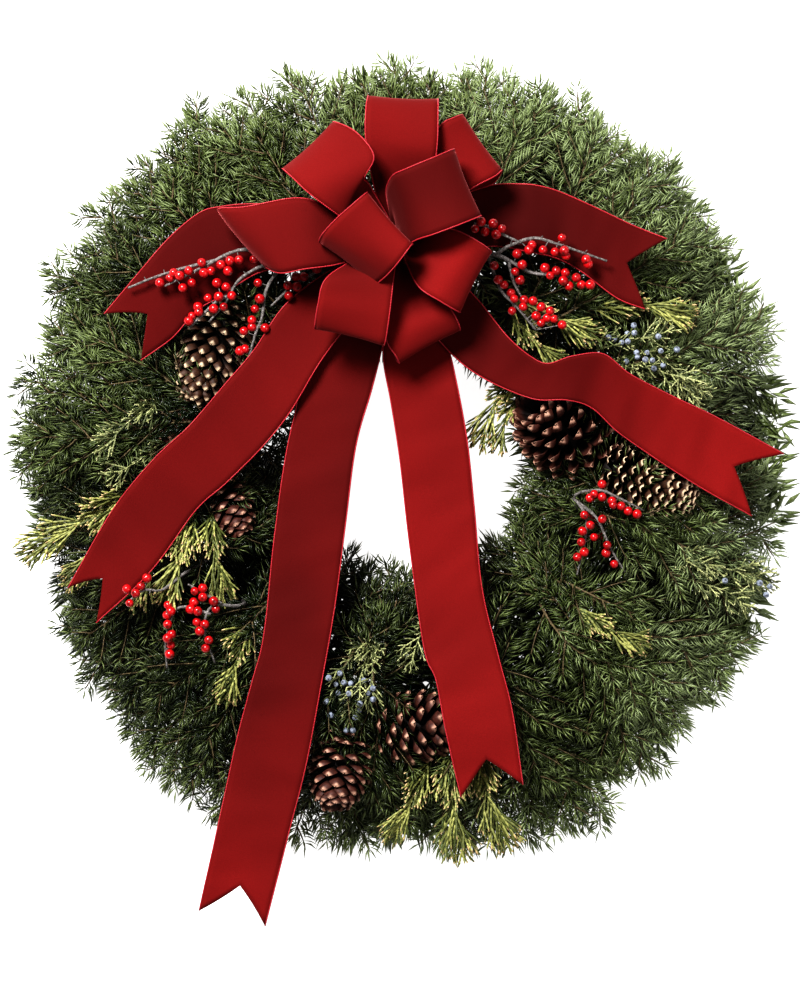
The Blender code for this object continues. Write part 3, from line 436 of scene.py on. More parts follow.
@dataclass(frozen=True)
class NeedleForm:
    """Size and set of fir needles.

    One needle in over_every stands over the twig, and from the share tuft on the needles close up
    round the tip. Of those that a ribbon hides, one in hidden_every is set.
    """

    length: float = 18.0 * MM
    width: float = 1.75 * MM
    per_metre: float = 890.0
    lean: float = math.radians(63)
    over_every: int = 5
    hidden_every: int = 3
    tuft: float = 0.88

    def closing(self, t: np.ndarray) -> np.ndarray:
        """How far the needles have closed up at a share of the way along their twig."""
        return ease((t - self.tuft) / (1 - self.tuft))

    def spindles(self, root: np.ndarray, ahead: np.ndarray, upward: np.ndarray, aim: np.ndarray,
                 t: np.ndarray, rng: np.random.Generator) -> np.ndarray:
        """Points of closed three-sided spindles, whose outer part turns forward and up like a sickle.

        Args:
            root: (n, 3) points in the bark.
            ahead: (n, 3) the twigs' directions there.
            upward: (n, 3) the directions of their upper sides.
            aim: (n, 3) directions in which the needles leave.
            t: (n,) shares of the way along the twigs.
            rng: seeded source of the differences.

        Returns:
            (n, 5, 3) places: the root, a ring of three before the middle, and the tip.
        """
        n = len(root)
        far = unit(aim + 0.55 * ahead + 0.24 * upward + 0.04 * rng.normal(size=(n, 3)))
        size = self.length * (0.82 + 0.24 * rng.random(n)) * (1 - 0.25 * self.closing(t))
        size = size * (1 - 0.25 * (t < 0.1))
        flatwise = unit(upward + 0.35 * rng.normal(size=(n, 3)))
        across = unit(np.cross(aim, flatwise))
        ridge = np.cross(across, aim)
        middle = root + aim * (size * 0.46)[:, None]
        end = middle + far * (size * 0.54)[:, None]
        half = self.width / 2 * (0.85 + 0.3 * rng.random(n))[:, None]
        ring = [middle - across * half, middle + across * half, middle + ridge * half * 0.7]
        return np.stack([root, *ring, end], 1)

    def grow(self, soup: Soup, twigs: Twigs, rng: np.random.Generator, slot: int, tone: float,
             press: Press) -> int:
        """Set needles along twigs, comb-like to both sides and over the top, and tufts at the tips.

        Args:
            soup: the piece that is being made.
            twigs: the twigs that carry them.
            rng: seeded source of the differences.
            slot: material slot.
            tone: how light this frond is, 0 to 1.
            press: the ribbons that hide some of them.

        Returns:
            How many needles were set.
        """
        counts = np.maximum((twigs.lengths() * self.per_metre).astype(int), 6)
        which, order, t = shared_out(counts, rng)
        bare = np.where(twigs.rank[which] == 0, 0.12, 0.02)
        t = bare + (1 - bare) * t
        shown = ~press.covered(twigs.at(which, t)) | (order % self.hidden_every == 0)
        which, order, t = which[shown], order[shown], t[shown]
        n = len(which)
        root, ahead = twigs.at(which, t), twigs.heading(which, t)
        side = unit(np.cross(ahead, twigs.up[which]))
        upward = np.cross(side, ahead)
        hand = np.where(order % 2 == 0, 1.0, -1.0)
        over = order % self.over_every == self.over_every - 1
        turn = hand * np.radians(np.where(over, 12 + 50 * rng.random(n), 70 + 28 * rng.random(n)))
        out = side * np.sin(turn)[:, None] + upward * np.cos(turn)[:, None]
        tip = self.closing(t)
        lean = self.lean * (1 - 0.30 * over) * (1 - 0.75 * tip) * (1 + 0.05 * rng.normal(size=n))
        aim = unit(ahead * np.cos(lean)[:, None] + out * np.sin(lean)[:, None])
        points = self.spindles(root, ahead, upward, aim, t, rng)
        blades = np.concatenate([np.arange(n)[:, None] * 5 + corners for corners in SPINDLE_FACES])
        mixed = 0.42 * rng.random(n) + 0.22 * rng.random(len(counts))[which] + 0.36 * tone
        tint = np.repeat(mixed, 5)
        young = np.repeat(np.clip(tip + 0.35 * (t > 0.6), 0, 1), 5)
        along = np.tile([0, 0.46, 0.46, 0.46, 1.0], n)
        under = np.tile([1.0, 1.0, 1.0, 0.0, 0.5], n)
        soup.add(points, [blades], slot, tint=tint, young=young, along=along, under=under)
        return n


def add_bark(soup: Soup, twigs: Twigs, butt: float, slot: int) -> None:
    """Add thin tapering twigs, thinner by rank.

    Args:
        soup: the piece that is being made.
        twigs: the curves that they follow.
        butt: radius of the thickest in metres.
        slot: material slot.
    """
    lines = twigs.lines(6)
    thick = butt * 0.68 ** twigs.rank[:, None] * np.linspace(1.0, 0.45, 6)[None]
    add_tubes(soup, lines, thick, 5, slot, twigs.up, along=np.linspace(0, 1, 6)[None])


class Shader:
    """A material whose nodes are added one after another."""

    def __init__(self, name: str, roughness: float, **sockets: float | tuple) -> None:
        """Start from a Principled surface.

        Args:
            name: the material's name.
            roughness: its roughness where nothing else sets it.
            sockets: further Principled sockets, spaces written as underscores.
        """
        self.material = bpy.data.materials.new(name)
        self.material.use_nodes = True
        self.tree = self.material.node_tree
        self.surface = self.tree.nodes["Principled BSDF"]
        self.surface.inputs["Roughness"].default_value = roughness
        for key, value in sockets.items():
            self.surface.inputs[key.replace("_", " ")].default_value = value

    def node(self, kind: str, **settings: object) -> bpy.types.Node:
        """Add a node.

        Args:
            kind: the node's type.
            settings: its properties, or else its input sockets by name.

        Returns:
            The node.
        """
        made = self.tree.nodes.new(kind)
        for key, value in settings.items():
            if hasattr(made, key):
                setattr(made, key, value)
            else:
                made.inputs[key.replace("_", " ")].default_value = value
        return made

    def link(self, source: Socket, target: Socket) -> None:
        """Join two sockets."""
        self.tree.links.new(source, target)

    def feed(self, socket: Socket, given: Socket | float | Colour) -> None:
        """Link an input to a socket, or set it to a number or a colour.

        Args:
            socket: the input.
            given: what it takes.
        """
        if isinstance(given, tuple):
            socket.default_value = (*given, 1)
        elif isinstance(given, (int, float)):
            socket.default_value = given
        else:
            self.link(given, socket)

    def value(self, name: str) -> Socket:
        """A per-point number of the piece."""
        return self.node("ShaderNodeAttribute", attribute_name=name).outputs["Fac"]

    def place(self, shift: Place = (0, 0, 0)) -> Socket:
        """Object coordinates, moved by a shift.

        Args:
            shift: the shift in metres.

        Returns:
            The moved coordinates.
        """
        mapping = self.node("ShaderNodeMapping", Location=shift)
        self.link(self.node("ShaderNodeTexCoord").outputs["Object"], mapping.inputs["Vector"])
        return mapping.outputs["Vector"]

    def noise(self, scale: float, detail: float) -> Socket:
        """Fractal noise over Object coordinates.

        Args:
            scale: waves in a metre.
            detail: how many finer waves are added.

        Returns:
            The noise, from 0 to 1.
        """
        made = self.node("ShaderNodeTexNoise", Scale=scale, Detail=detail, Roughness=0.55)
        self.link(self.place(), made.inputs["Vector"])
        return made.outputs["Fac"]

    def ramp(self, source: Socket, low: float, high: float, start: float = 0.0, end: float = 1.0) -> Socket:
        """A number mapped smoothly from one range to another.

        Args:
            source: the number.
            low: where the ramp starts.
            high: where it ends.
            start: what it gives up to low.
            end: what it gives from high on.

        Returns:
            The mapped number.
        """
        made = self.node("ShaderNodeMapRange", interpolation_type="SMOOTHSTEP",
                         From_Min=low, From_Max=high, To_Min=start, To_Max=end)
        self.link(source, made.inputs["Value"])
        return made.outputs["Result"]

    def math(self, kind: str, a: Socket | float, b: Socket | float = 0.0) -> Socket:
        """A sum, product and so on.

        Args:
            kind: the node's operation.
            a: first socket or number.
            b: second one.

        Returns:
            The result.
        """
        made = self.node("ShaderNodeMath", operation=kind)
        self.feed(made.inputs[0], a)
        self.feed(made.inputs[1], b)
        return made.outputs[0]

    def plus(self, a: Socket | float, b: Socket | float) -> Socket:
        """The sum of two numbers."""
        return self.math("ADD", a, b)

    def times(self, a: Socket | float, b: Socket | float) -> Socket:
        """The product of two numbers."""
        return self.math("MULTIPLY", a, b)

    def mix(self, factor: Socket | float, a: Socket | Colour, b: Socket | Colour) -> Socket:
        """Mix two colours.

        Args:
            factor: share of the second.
            a: first colour.
            b: second colour.

        Returns:
            The mixed colour.
        """
        made = self.node("ShaderNodeMix", data_type="RGBA")
        for index, given in ((0, factor), (6, a), (7, b)):
            self.feed(made.inputs[index], given)
        return made.outputs[2]

    def colour(self, source: Socket) -> None:
        """Use a socket as the base colour."""
        self.link(source, self.surface.inputs["Base Color"])

    def rough(self, source: Socket) -> None:
        """Use a socket as the roughness."""
        self.link(source, self.surface.inputs["Roughness"])

    def bump(self, source: Socket, depth: float) -> None:
        """Raise the surface.

        Args:
            source: the height, from 0 to 1.
            depth: what a height of 1 is in metres.
        """
        made = self.node("ShaderNodeBump", Strength=1.0, Distance=depth)
        self.link(source, made.inputs["Height"])
        self.link(made.outputs["Normal"], self.surface.inputs["Normal"])


@dataclass(frozen=True)
class NeedleFinish:
    """Fir needles: dark green with patches, lighter young tips and a paler underside that is partly a
    painted highlight, under painted light: lighter to the right, the top and the outer edge, with painted
    shade near black low in the ring's band.
    """

    dark: Colour = (0.008, 0.016, 0.004)
    light: Colour = (0.165, 0.215, 0.062)
    young: Colour = (0.290, 0.350, 0.130)
    # Pale underside, also a painted highlight on the lighter needles.
    pale: Colour = (0.560, 0.640, 0.420)
    # Near-black painted shade for the low needles in the ring's band.
    inner: Colour = (0.003, 0.004, 0.002)
    ring: Place = tuple(-RING)

    def build(self) -> Look:
        """Make the material.

        Returns:
            The finished material.
        """
        s = Shader("fir_needle", 0.36, Specular_IOR_Level=0.5)
        patch = s.ramp(s.noise(11.0, 2.0), 0.36, 0.66)
        side = s.node("ShaderNodeSeparateXYZ")
        s.link(s.place(), side.inputs[0])
        # Painted light: the needles get lighter to the right and to the top.
        painted_light_drift = s.plus(s.times(side.outputs[0], 0.75), s.times(side.outputs[1], 0.30))
        flat = s.node("ShaderNodeVectorMath", operation="MULTIPLY")
        flat.inputs[1].default_value = (1, 1, 0)
        s.link(s.place(shift=self.ring), flat.inputs[0])
        far = s.node("ShaderNodeVectorMath", operation="LENGTH")
        s.link(flat.outputs[0], far.inputs[0])
        out = far.outputs["Value"]
        # Painted light: lighter towards the outer edge, darker towards the hole.
        rim = s.ramp(out, 0.16, 0.34, -0.14, 0.16)
        shade = s.plus(s.times(s.value("tint"), 0.85), s.times(patch, 0.16))
        # The tone takes in both painted light gradients here.
        shade = s.ramp(s.plus(s.plus(shade, painted_light_drift), rim), 0.26, 1.0)
        body = s.mix(shade, self.dark, self.light)
        body = s.mix(s.times(s.value("young"), 0.45), body, self.young)
        # Paler underside, shown only on the lighter needles: partly real, partly a painted highlight that
        # follows the painted light.
        pale_underside_and_highlight = s.times(s.value("under"), s.ramp(shade, 0.55, 1.0, 0.0, 0.55))
        body = s.mix(pale_underside_and_highlight, body, self.pale)
        tip = s.ramp(s.value("along"), 0.8, 1.0, 0.0, 0.35)
        body = s.mix(tip, body, self.young)
        # Painted shade: needles low down in the ring's band turn near black.
        painted_shade_band = s.times(s.ramp(out, 0.105, 0.135), s.ramp(out, 0.285, 0.340, 1.0, 0.0))
        depth = s.times(s.ramp(side.outputs[2], 18 * MM, 60 * MM, 0.97, 0.0), painted_shade_band)
        s.colour(s.mix(depth, body, self.inner))
        s.rough(s.ramp(s.value("tint"), 0.0, 1.0, 0.28, 0.46))
        return s.material


@dataclass(frozen=True)
class LeafFinish:
    """Scale-leaved strands: a green that turns to a tip colour at the ends."""

    name: str
    dark: Colour
    light: Colour
    tip: Colour
    tip_start: float = 0.8

    def build(self) -> Look:
        """Make the material.

        Returns:
            The finished material.
        """
        s = Shader(self.name, 0.5, Specular_IOR_Level=0.4)
        body = s.mix(s.ramp(s.value("tint"), 0.05, 0.95), self.dark, self.light)
        body = s.mix(s.ramp(s.noise(30.0, 2.0), 0.4, 0.62, 0.0, 0.4), body, self.dark)
        body = s.mix(s.ramp(s.value("scale"), 0.0, 1.0, 0.45, 0.0), body, self.dark)
        tip = s.ramp(s.value("along"), self.tip_start, 1.0)
        s.colour(s.mix(s.times(tip, s.value("gold")), body, self.tip))
        return s.material


@dataclass(frozen=True)
class BarkFinish:
    """Twig bark: brown-grey with lenticels and a fine crackle."""

    name: str
    dark: Colour
    light: Colour

    def build(self) -> Look:
        """Make the material.

        Returns:
            The finished material.
        """
        s = Shader(self.name, 0.75)
        crackle = s.noise(420.0, 4.0)
        spots = s.ramp(s.noise(900.0, 1.0), 0.62, 0.70)
        body = s.mix(s.ramp(crackle, 0.35, 0.65), self.dark, self.light)
        s.colour(s.mix(s.times(spots, 0.6), body, tuple(min(3 * c, 1) for c in self.light)))
        s.bump(crackle, 0.25 * MM)
        return s.material


@dataclass(frozen=True)
class ScaleFinish:
    """Cone scales: painted shade near black towards each scale's root, reddish-brown faces and tan rims with
    a paler boss.
    """

    name: str
    # Near-black painted shade deep in the cone.
    inside: Colour
    face: Colour
    rim: Colour

    def build(self) -> Look:
        """Make the material.

        Returns:
            The finished material.
        """
        s = Shader(self.name, 0.6, Specular_IOR_Level=0.35)
        grain = s.noise(260.0, 4.0)
        face = s.mix(s.ramp(grain, 0.3, 0.7), self.face, tuple(0.45 * c for c in self.face))
        # Painted shade: each scale turns near black towards its root, deep in the cone.
        outer = s.ramp(s.value("along"), 0.45, 0.80)
        body = s.mix(outer, self.inside, face)
        tip = s.ramp(s.value("along"), 0.89, 0.985)
        uneven = s.times(tip, s.ramp(s.noise(120.0, 2.0), 0.25, 0.6, 0.45, 1.0))
        body = s.mix(uneven, body, self.rim)
        s.colour(s.mix(s.times(s.value("boss"), 0.8), body, self.rim))
        s.bump(grain, 0.3 * MM)
        return s.material


@dataclass(frozen=True)
class BerryFinish:
    """Berries with a dark eye: glossy red, or blue-grey with a waxy bloom."""

    name: str
    body: Colour
    shade: Colour
    bloom: float
    gloss: float
    wax: Colour = (0.52, 0.56, 0.66)
    eye: Colour = (0.02, 0.012, 0.008)

    def build(self) -> Look:
        """Make the material.

        Returns:
            The finished material.
        """
        s = Shader(self.name, self.gloss, Coat_Weight=0.0 if self.bloom else 0.35, Coat_Roughness=0.10)
        body = s.mix(s.ramp(s.noise(70.0, 2.0), 0.35, 0.68), self.body, self.shade)
        if self.bloom:
            wax = s.ramp(s.noise(520.0, 3.0), 0.35, 0.65, 0.2, self.bloom)
            body = s.mix(wax, body, self.wax)
        s.colour(s.mix(s.value("eye"), body, self.eye))
        s.bump(s.noise(900.0, 2.0), 0.05 * MM)
        return s.material


@dataclass(frozen=True)
class VelvetFinish:
    """Velvet pile: deep red that goes darker where the pile is brushed away, with a soft sheen, and with
    painted shade: darker where a ribbon's nap is high and where the cloth turns away from the camera.
    """

    lit: Colour = (0.262, 0.0125, 0.0120)
    # Dark copy of the red, for the painted shade and the pile.
    deep: Colour = (0.055, 0.0036, 0.0034)

    def build(self) -> Look:
        """Make the material.

        Returns:
            The finished material.
        """
        s = Shader("red_velvet_pile", 0.85, Sheen_Weight=0.42, Sheen_Roughness=0.35,
                   Sheen_Tint=(1.0, 0.25, 0.25, 1), Specular_IOR_Level=0.12)
        brushed = s.ramp(s.noise(9.0, 1.0), 0.30, 0.75, 0.0, 0.6)
        fine = s.noise(1400.0, 2.0)
        # nap is set along each ribbon: partly the lie of the pile, partly painted shade at the knot and
        # under the bow and cones.
        nap = s.plus(s.value("nap"), s.times(s.math("SUBTRACT", brushed, 0.3), 0.25))
        body = s.mix(s.ramp(nap, 0.0, 1.0), self.lit, self.deep)
        # Painted shade: darker where the cloth turns away from the camera.
        facing = s.node("ShaderNodeLayerWeight", Blend=0.35).outputs["Facing"]
        body = s.mix(s.times(facing, 0.4), body, self.deep)
        s.colour(s.mix(s.ramp(fine, 0.3, 0.7, 0.0, 0.22), body, self.deep))
        s.bump(fine, 0.12 * MM)
        return s.material


@dataclass(frozen=True)
class ThreadFinish:
    """The ribbon's stitched wire edge: bright thread wound round a thin wire, with painted shade in the gaps
    between its turns.
    """

    lit: Colour = (0.58, 0.030, 0.050)
    # Painted shade in the gaps between the turns.
    gap: Colour = (0.28, 0.008, 0.013)
    pitch: float = 1.1 * MM

    def build(self) -> Look:
        """Make the material.

        Returns:
            The finished material.
        """
        s = Shader("edge_thread", 0.5)
        wave = s.math("SINE", s.times(s.value("run"), math.tau / self.pitch))
        turns = s.ramp(wave, -0.6, 0.5)
        # Lit crests, and painted shade in the gaps between the turns.
        s.colour(s.mix(turns, self.gap, self.lit))
        s.bump(turns, 0.15 * MM)
        return s.material


@dataclass(frozen=True)
class WireFinish:
    """Green enamelled wire with small chips."""

    coat: Colour = (0.020, 0.055, 0.030)
    bare: Colour = (0.16, 0.15, 0.14)

    def build(self) -> Look:
        """Make the material.

        Returns:
            The finished material.
        """
        s = Shader("green_enamel", 0.35, Metallic=0.3)
        chips = s.ramp(s.noise(240.0, 3.0), 0.70, 0.74)
        s.colour(s.mix(chips, self.coat, self.bare))
        s.rough(s.ramp(s.noise(60.0, 2.0), 0.3, 0.7, 0.28, 0.5))
        s.bump(s.noise(700.0, 2.0), 0.06 * MM)
        return s.material


class Leaf(Enum):
    """Kinds of scale-leaved spray."""

    CEDAR = "cedar"
    JUNIPER = "juniper"


class Palette:
    """Every material of the wreath, made once."""

    def __init__(self) -> None:
        """Make each finish, the colours from dark to light."""
        self.needle = NeedleFinish().build()
        self.fir_bark = BarkFinish("fir_bark", (0.060, 0.040, 0.020), (0.140, 0.105, 0.050)).build()
        self.grey_bark = BarkFinish("winterberry_bark", (0.075, 0.065, 0.060), (0.200, 0.185, 0.175)).build()
        self.cedar = LeafFinish(
            "cedar_leaf", (0.070, 0.085, 0.020), (0.500, 0.500, 0.170), (0.850, 0.600, 0.330), 0.82).build()
        self.juniper = LeafFinish(
            "juniper_leaf", (0.085, 0.100, 0.040), (0.560, 0.580, 0.270), (0.700, 0.690, 0.380), 0.7).build()
        self.red = BerryFinish(
            "winterberry_skin", (0.540, 0.006, 0.010), (0.320, 0.004, 0.007), 0.0, 0.30).build()
        self.blue = BerryFinish(
            "juniper_berry_skin", (0.055, 0.080, 0.130), (0.030, 0.045, 0.080), 0.75, 0.6).build()
        # The first colour of each cone finish is near-black painted shade deep in the cone.
        self.gold_scale = ScaleFinish(
            "cone_gold", (0.008, 0.004, 0.003), (0.070, 0.028, 0.013), (0.820, 0.620, 0.420)).build()
        self.red_scale = ScaleFinish(
            "cone_red_brown", (0.008, 0.003, 0.002), (0.095, 0.028, 0.018), (0.600, 0.350, 0.250)).build()
        self.velvet = VelvetFinish().build()
        self.thread = ThreadFinish().build()
        self.wire = WireFinish().build()


@dataclass(frozen=True)
class Layer:
    """Fronds of one height in a bundle: how many, from where, how far and how they rise."""

    count: int
    start: float
    reach: float
    low: float
    high: float
    spread: float
    wide: float


@dataclass
class FirBundle:
    """One clamp's bundle: bound stems, and fronds that leave it outward and inward.

    Lengths and heights are in mm. The outline is the foliage's reach every ten degrees, kept
    under a limit and drawn in by the length that the needles add at the tips.
    """

    index: int
    palette: Palette
    press: Press
    core_z: float = 11.9
    core_r: float = 7.0
    core_stems: int = 14
    limit: float = 378.0
    drawn_in: float = 9.0
    needles: NeedleForm = NeedleForm()
    outline: tuple[float, ...] = (
        330, 318, 360, 340, 364, 368, 368, 374, 366, 366, 364, 382, 372, 398, 380, 388, 354, 368,
        374, 340, 344, 364, 366, 370, 392, 374, 356, 352, 370, 372, 378, 356, 364, 360, 342, 342)
    layers: tuple[Layer, ...] = (
        Layer(5, 196, 1.00, 13, 28, 21.0, 54),
        Layer(3, 188, 0.96, 28, 42, 20.0, 52),
        Layer(2, 180, 0.88, 46, 60, 15.0, 50),
        Layer(2, 170, 0.72, 60, 72, 15.0, 46),
    )
    inner: tuple[Layer, ...] = (
        Layer(3, 194, 99, 14, 22, 20.0, 34),
        Layer(2, 200, 110, 36, 44, 15.0, 34),
        Layer(2, 208, 134, 54, 62, 15.0, 34),
    )
    old_needles: NeedleForm = NeedleForm(27 * MM, 4.6 * MM, 470.0, math.radians(58))
    mats: tuple[Place, ...] = (
        (128, 4, 12), (150, 8, 16), (172, 6, 20), (196, 22, 26), (222, 5, 18), (248, 6, 16),
        (274, 5, 13), (300, 3, 9), (316, 3, 7))

    def angle(self) -> float:
        """The bundle's direction from the ring's middle."""
        return FIRST_CLAMP + self.index * math.tau / CLAMPS

    def outline_at(self, angle: float) -> float:
        """How far the foliage reaches, between the values set every ten degrees.

        Args:
            angle: direction from the ring's middle in radians.

        Returns:
            The reach in mm.
        """
        turn = math.degrees(angle) % 360 / 10
        low = int(turn) % 36
        share = turn - int(turn)
        return self.outline[low] * (1 - share) + self.outline[(low + 1) % 36] * share

    def main_stem(self, layer: Layer, number: int, inward: bool, rng: np.random.Generator) -> Twigs:
        """The main stem of one frond: up from the clamp, out in an arch and down to its tip.

        Args:
            layer: the frond's layer.
            number: its place in the layer.
            inward: whether it grows into the wreath's hole.
            rng: seeded source of the differences.

        Returns:
            The stem as one twig.
        """
        part = (number + 0.5) / layer.count - 0.5
        turn = self.angle() + math.radians(layer.spread * part * 2 * 0.75 + rng.normal() * 1.6)
        root = self.angle() + math.radians(layer.spread * part * 0.9 + rng.normal() * 1.2)
        if inward:
            tip = layer.reach + rng.uniform(-5, 8)
        else:
            reach = min(self.outline_at(turn), self.limit) - self.drawn_in
            tip = reach * layer.reach - rng.uniform(-2, 13)
        skew = math.radians(rng.normal() * (9 if inward else 4))
        start = around(root, layer.start, 0, layer.low)
        end = around(turn + skew * 0.4, tip, 0, layer.high - 8 + rng.normal() * 2)
        bend = (start + end) / 2 + UP * (layer.high - layer.low + 9) * MM
        bend += np.array([-math.sin(turn), math.cos(turn), 0]) * rng.normal() * 7 * MM
        up = unit(UP + 0.16 * rng.normal(size=3))
        return Twigs(start[None], bend[None], end[None], up[None], np.zeros(1))

    def mains(self, rng: np.random.Generator) -> list[tuple[Twigs, float]]:
        """The fronds' main stems.

        Args:
            rng: seeded source of the differences.

        Returns:
            Each stem with the width of its frond in mm.
        """
        layers = [(layer, False) for layer in self.layers] + [(layer, True) for layer in self.inner]
        return [(self.main_stem(layer, number, inward, rng), layer.wide)
                for layer, inward in layers for number in range(layer.count)]

    def mat(self, rng: np.random.Generator) -> Twigs:
        """Old inner shoots that lie low along the ring and close the bundle from below.

        Args:
            rng: seeded source of the differences.

        Returns:
            The shoots and their side shoots.
        """
        rows = np.array([(radius, low, high, way) for radius, low, high in self.mats for way in (-1, 1)])
        places = []
        for degrees, share, lift in ((0.5, 0.0, 0.0), (8.5, 0.5, 4.0), (17.0, 1.0, 0.0)):
            angle = self.angle() + rows[:, 3] * math.radians(degrees)
            height = rows[:, 1] * (1 - share) + rows[:, 2] * share + lift
            radius = rows[:, 0] + rng.uniform(-5, 5, len(rows))
            places.append(RING + np.stack([radius * np.cos(angle), radius * np.sin(angle), height], 1) * MM)
        count = len(rows)
        main = Twigs(*places, np.tile(UP, (count, 1)), np.zeros(count))
        sides = main.branched(rng, pitch=13 * MM, angle=math.radians(50), longest=30 * MM, share=0.6,
                              first=0.0, lift=0.0, twist=0.1)
        return Twigs.joined([main, sides])

    def build(self) -> bpy.types.Object:
        """Make the bundle's piece.

        Returns:
            The piece.
        """
        rng = np.random.default_rng(500 + self.index)
        soup = Soup()
        count = twig_count = 0
        for main, wide in self.mains(rng):
            sides = main.branched(rng, pitch=15 * MM, angle=math.radians(47), longest=wide * MM,
                                  share=0.62, first=0.04, lift=0.08, twist=0.10)
            twigs = Twigs.joined([main, sides])
            count += self.needles.grow(soup, twigs, rng, 0, rng.random(), self.press)
            twig_count += len(twigs.start)
            add_bark(soup, twigs, 1.4 * MM, 1)
        # The low mat takes the darkest tone: older needles, and painted shade under the fronds.
        count += self.old_needles.grow(soup, self.mat(rng), rng, 0, 0.0, self.press)
        self.bind(soup, rng)
        soup.lay(self.press)
        name = f"fir_spray_{self.index + 1:02d}"
        LOG.info("%s: %d twigs, %d needles", name, twig_count, count)
        return soup.stand_in(name, [self.palette.needle, self.palette.fir_bark],
                             f"fir_bundle_{self.index + 1:02d}")

    def bind(self, soup: Soup, rng: np.random.Generator) -> None:
        """Add the bound stems in the clamp: arcs packed in a round bundle.

        Args:
            soup: the piece that is being made.
            rng: seeded source of the stems' thicknesses.
        """
        count = self.core_stems
        arc = self.angle() + np.radians(np.linspace(-12.5, 12.5, 9))
        order = np.arange(count)
        out = self.core_r * 0.82 * np.sqrt(order / count)
        turn = order * GOLDEN
        radius = BUNDLE_RADIUS + out * np.cos(turn)
        height = self.core_z + out * np.sin(turn)
        x = radius[:, None] * np.cos(arc)[None]
        y = radius[:, None] * np.sin(arc)[None]
        z = np.broadcast_to(height[:, None], x.shape)
        lines = RING + np.stack([x, y, z], -1) * MM
        thick = rng.uniform(1.4, 2.1, (count, 1)) * MM * np.ones((1, 9))
        add_tubes(soup, lines, thick, 6, 1, along=np.zeros((count, 9)))


@dataclass(frozen=True)
class StrandForm:
    """Scale-leaved strands: beaded, flattened cords, of which a share has a golden, budded tip."""

    bead: float
    radius: float
    flat: float
    gold: float
    bud: float

    def grow(self, soup: Soup, twigs: Twigs, rng: np.random.Generator, slot: int) -> None:
        """Lay a beaded cord along every twig: its radius swells once for each pair of scales.

        Args:
            soup: the piece that is being made.
            twigs: the curves that carry them.
            rng: seeded source of the differences.
            slot: material slot.
        """
        beads = int(np.clip(round(float(twigs.lengths().mean()) / self.bead), 3, 16))
        count = beads * 2 + 1
        lines = twigs.lines(count)
        step = np.arange(count)
        swell = np.where(step % 2 == 0, 0.72, 1.0)
        taper = np.clip(1.25 - np.linspace(0, 1, count) ** 3, 0.35, 1.0)
        size = self.radius * (0.85 + 0.3 * rng.random(len(lines)))[:, None] * (swell * taper)[None]
        tint = rng.random(len(lines))[:, None]
        gold = (rng.random(len(lines)) < self.gold)[:, None] * np.ones((1, count))
        along = np.linspace(0, 1, count)[None]
        size = size * (1 + self.bud * gold * np.exp(-((along - 0.93) / 0.07) ** 2))
        add_tubes(soup, lines, size, 4, slot, twigs.up, self.flat, tint=tint, gold=gold,
                  along=along, scale=(step % 2)[None])


CEDAR_STRANDS = StrandForm(bead=4.0 * MM, radius=1.30 * MM, flat=0.70, gold=0.85, bud=0.95)
JUNIPER_STRANDS = StrandForm(bead=2.1 * MM, radius=0.95 * MM, flat=0.9, gold=0.6, bud=0.0)


def add_spheres(soup: Soup, centres: np.ndarray, radii: np.ndarray, ends: np.ndarray, slot: int,
                rings: int = 9, sides: int = 12) -> None:
    """Add berries: spheres drawn in a little at the end that faces outward, where their eye is.

    Args:
        soup: the piece that is being made.
        centres: (n, 3) middles.
        radii: (n,) radii.
        ends: (n, 3) directions of their eyes.
        slot: material slot.
        rings: rings between the poles.
        sides: points in a ring.
    """
    polar = np.linspace(0, math.pi, rings + 2)[1:-1]
    turn = np.arange(sides) * math.tau / sides
    ball = np.stack([np.sin(polar)[:, None] * np.cos(turn), np.sin(polar)[:, None] * np.sin(turn),
                     np.broadcast_to(np.cos(polar)[:, None], (rings, sides))], -1).reshape(-1, 3)
    ball = np.concatenate([ball, [[0, 0, 0.90], [0, 0, -0.97]]])
    eye = np.zeros(len(ball))
    eye[:sides] = 0.35
    eye[-2] = 1.0
    axis = unit(ends)
    side = unit(np.cross(axis, UP + 1e-3))
    other = np.cross(axis, side)
    local = ball[None] * radii[:, None, None]
    points = (centres[:, None] + local[..., :1] * side[:, None] + local[..., 1:2] * other[:, None]
              + local[..., 2:] * axis[:, None])
    grid = np.arange(rings * sides).reshape(rings, sides)
    quads = np.stack([grid[:-1], grid[1:], np.roll(grid[1:], -1, 1), np.roll(grid[:-1], -1, 1)], -1)
    quads = quads.reshape(-1, 4)
    top = np.stack([grid[0], np.roll(grid[0], -1), np.full(sides, len(ball) - 2)], -1)
    low = np.stack([np.roll(grid[-1], -1), grid[-1], np.full(sides, len(ball) - 1)], -1)
    shift = (np.arange(len(centres)) * len(ball))[:, None, None]
    faces = [(quads[None] + shift).reshape(-1, 4), (top[None] + shift).reshape(-1, 3),
             (low[None] + shift).reshape(-1, 3)]
    soup.add(points, faces, slot, eye=np.tile(eye, len(centres)))


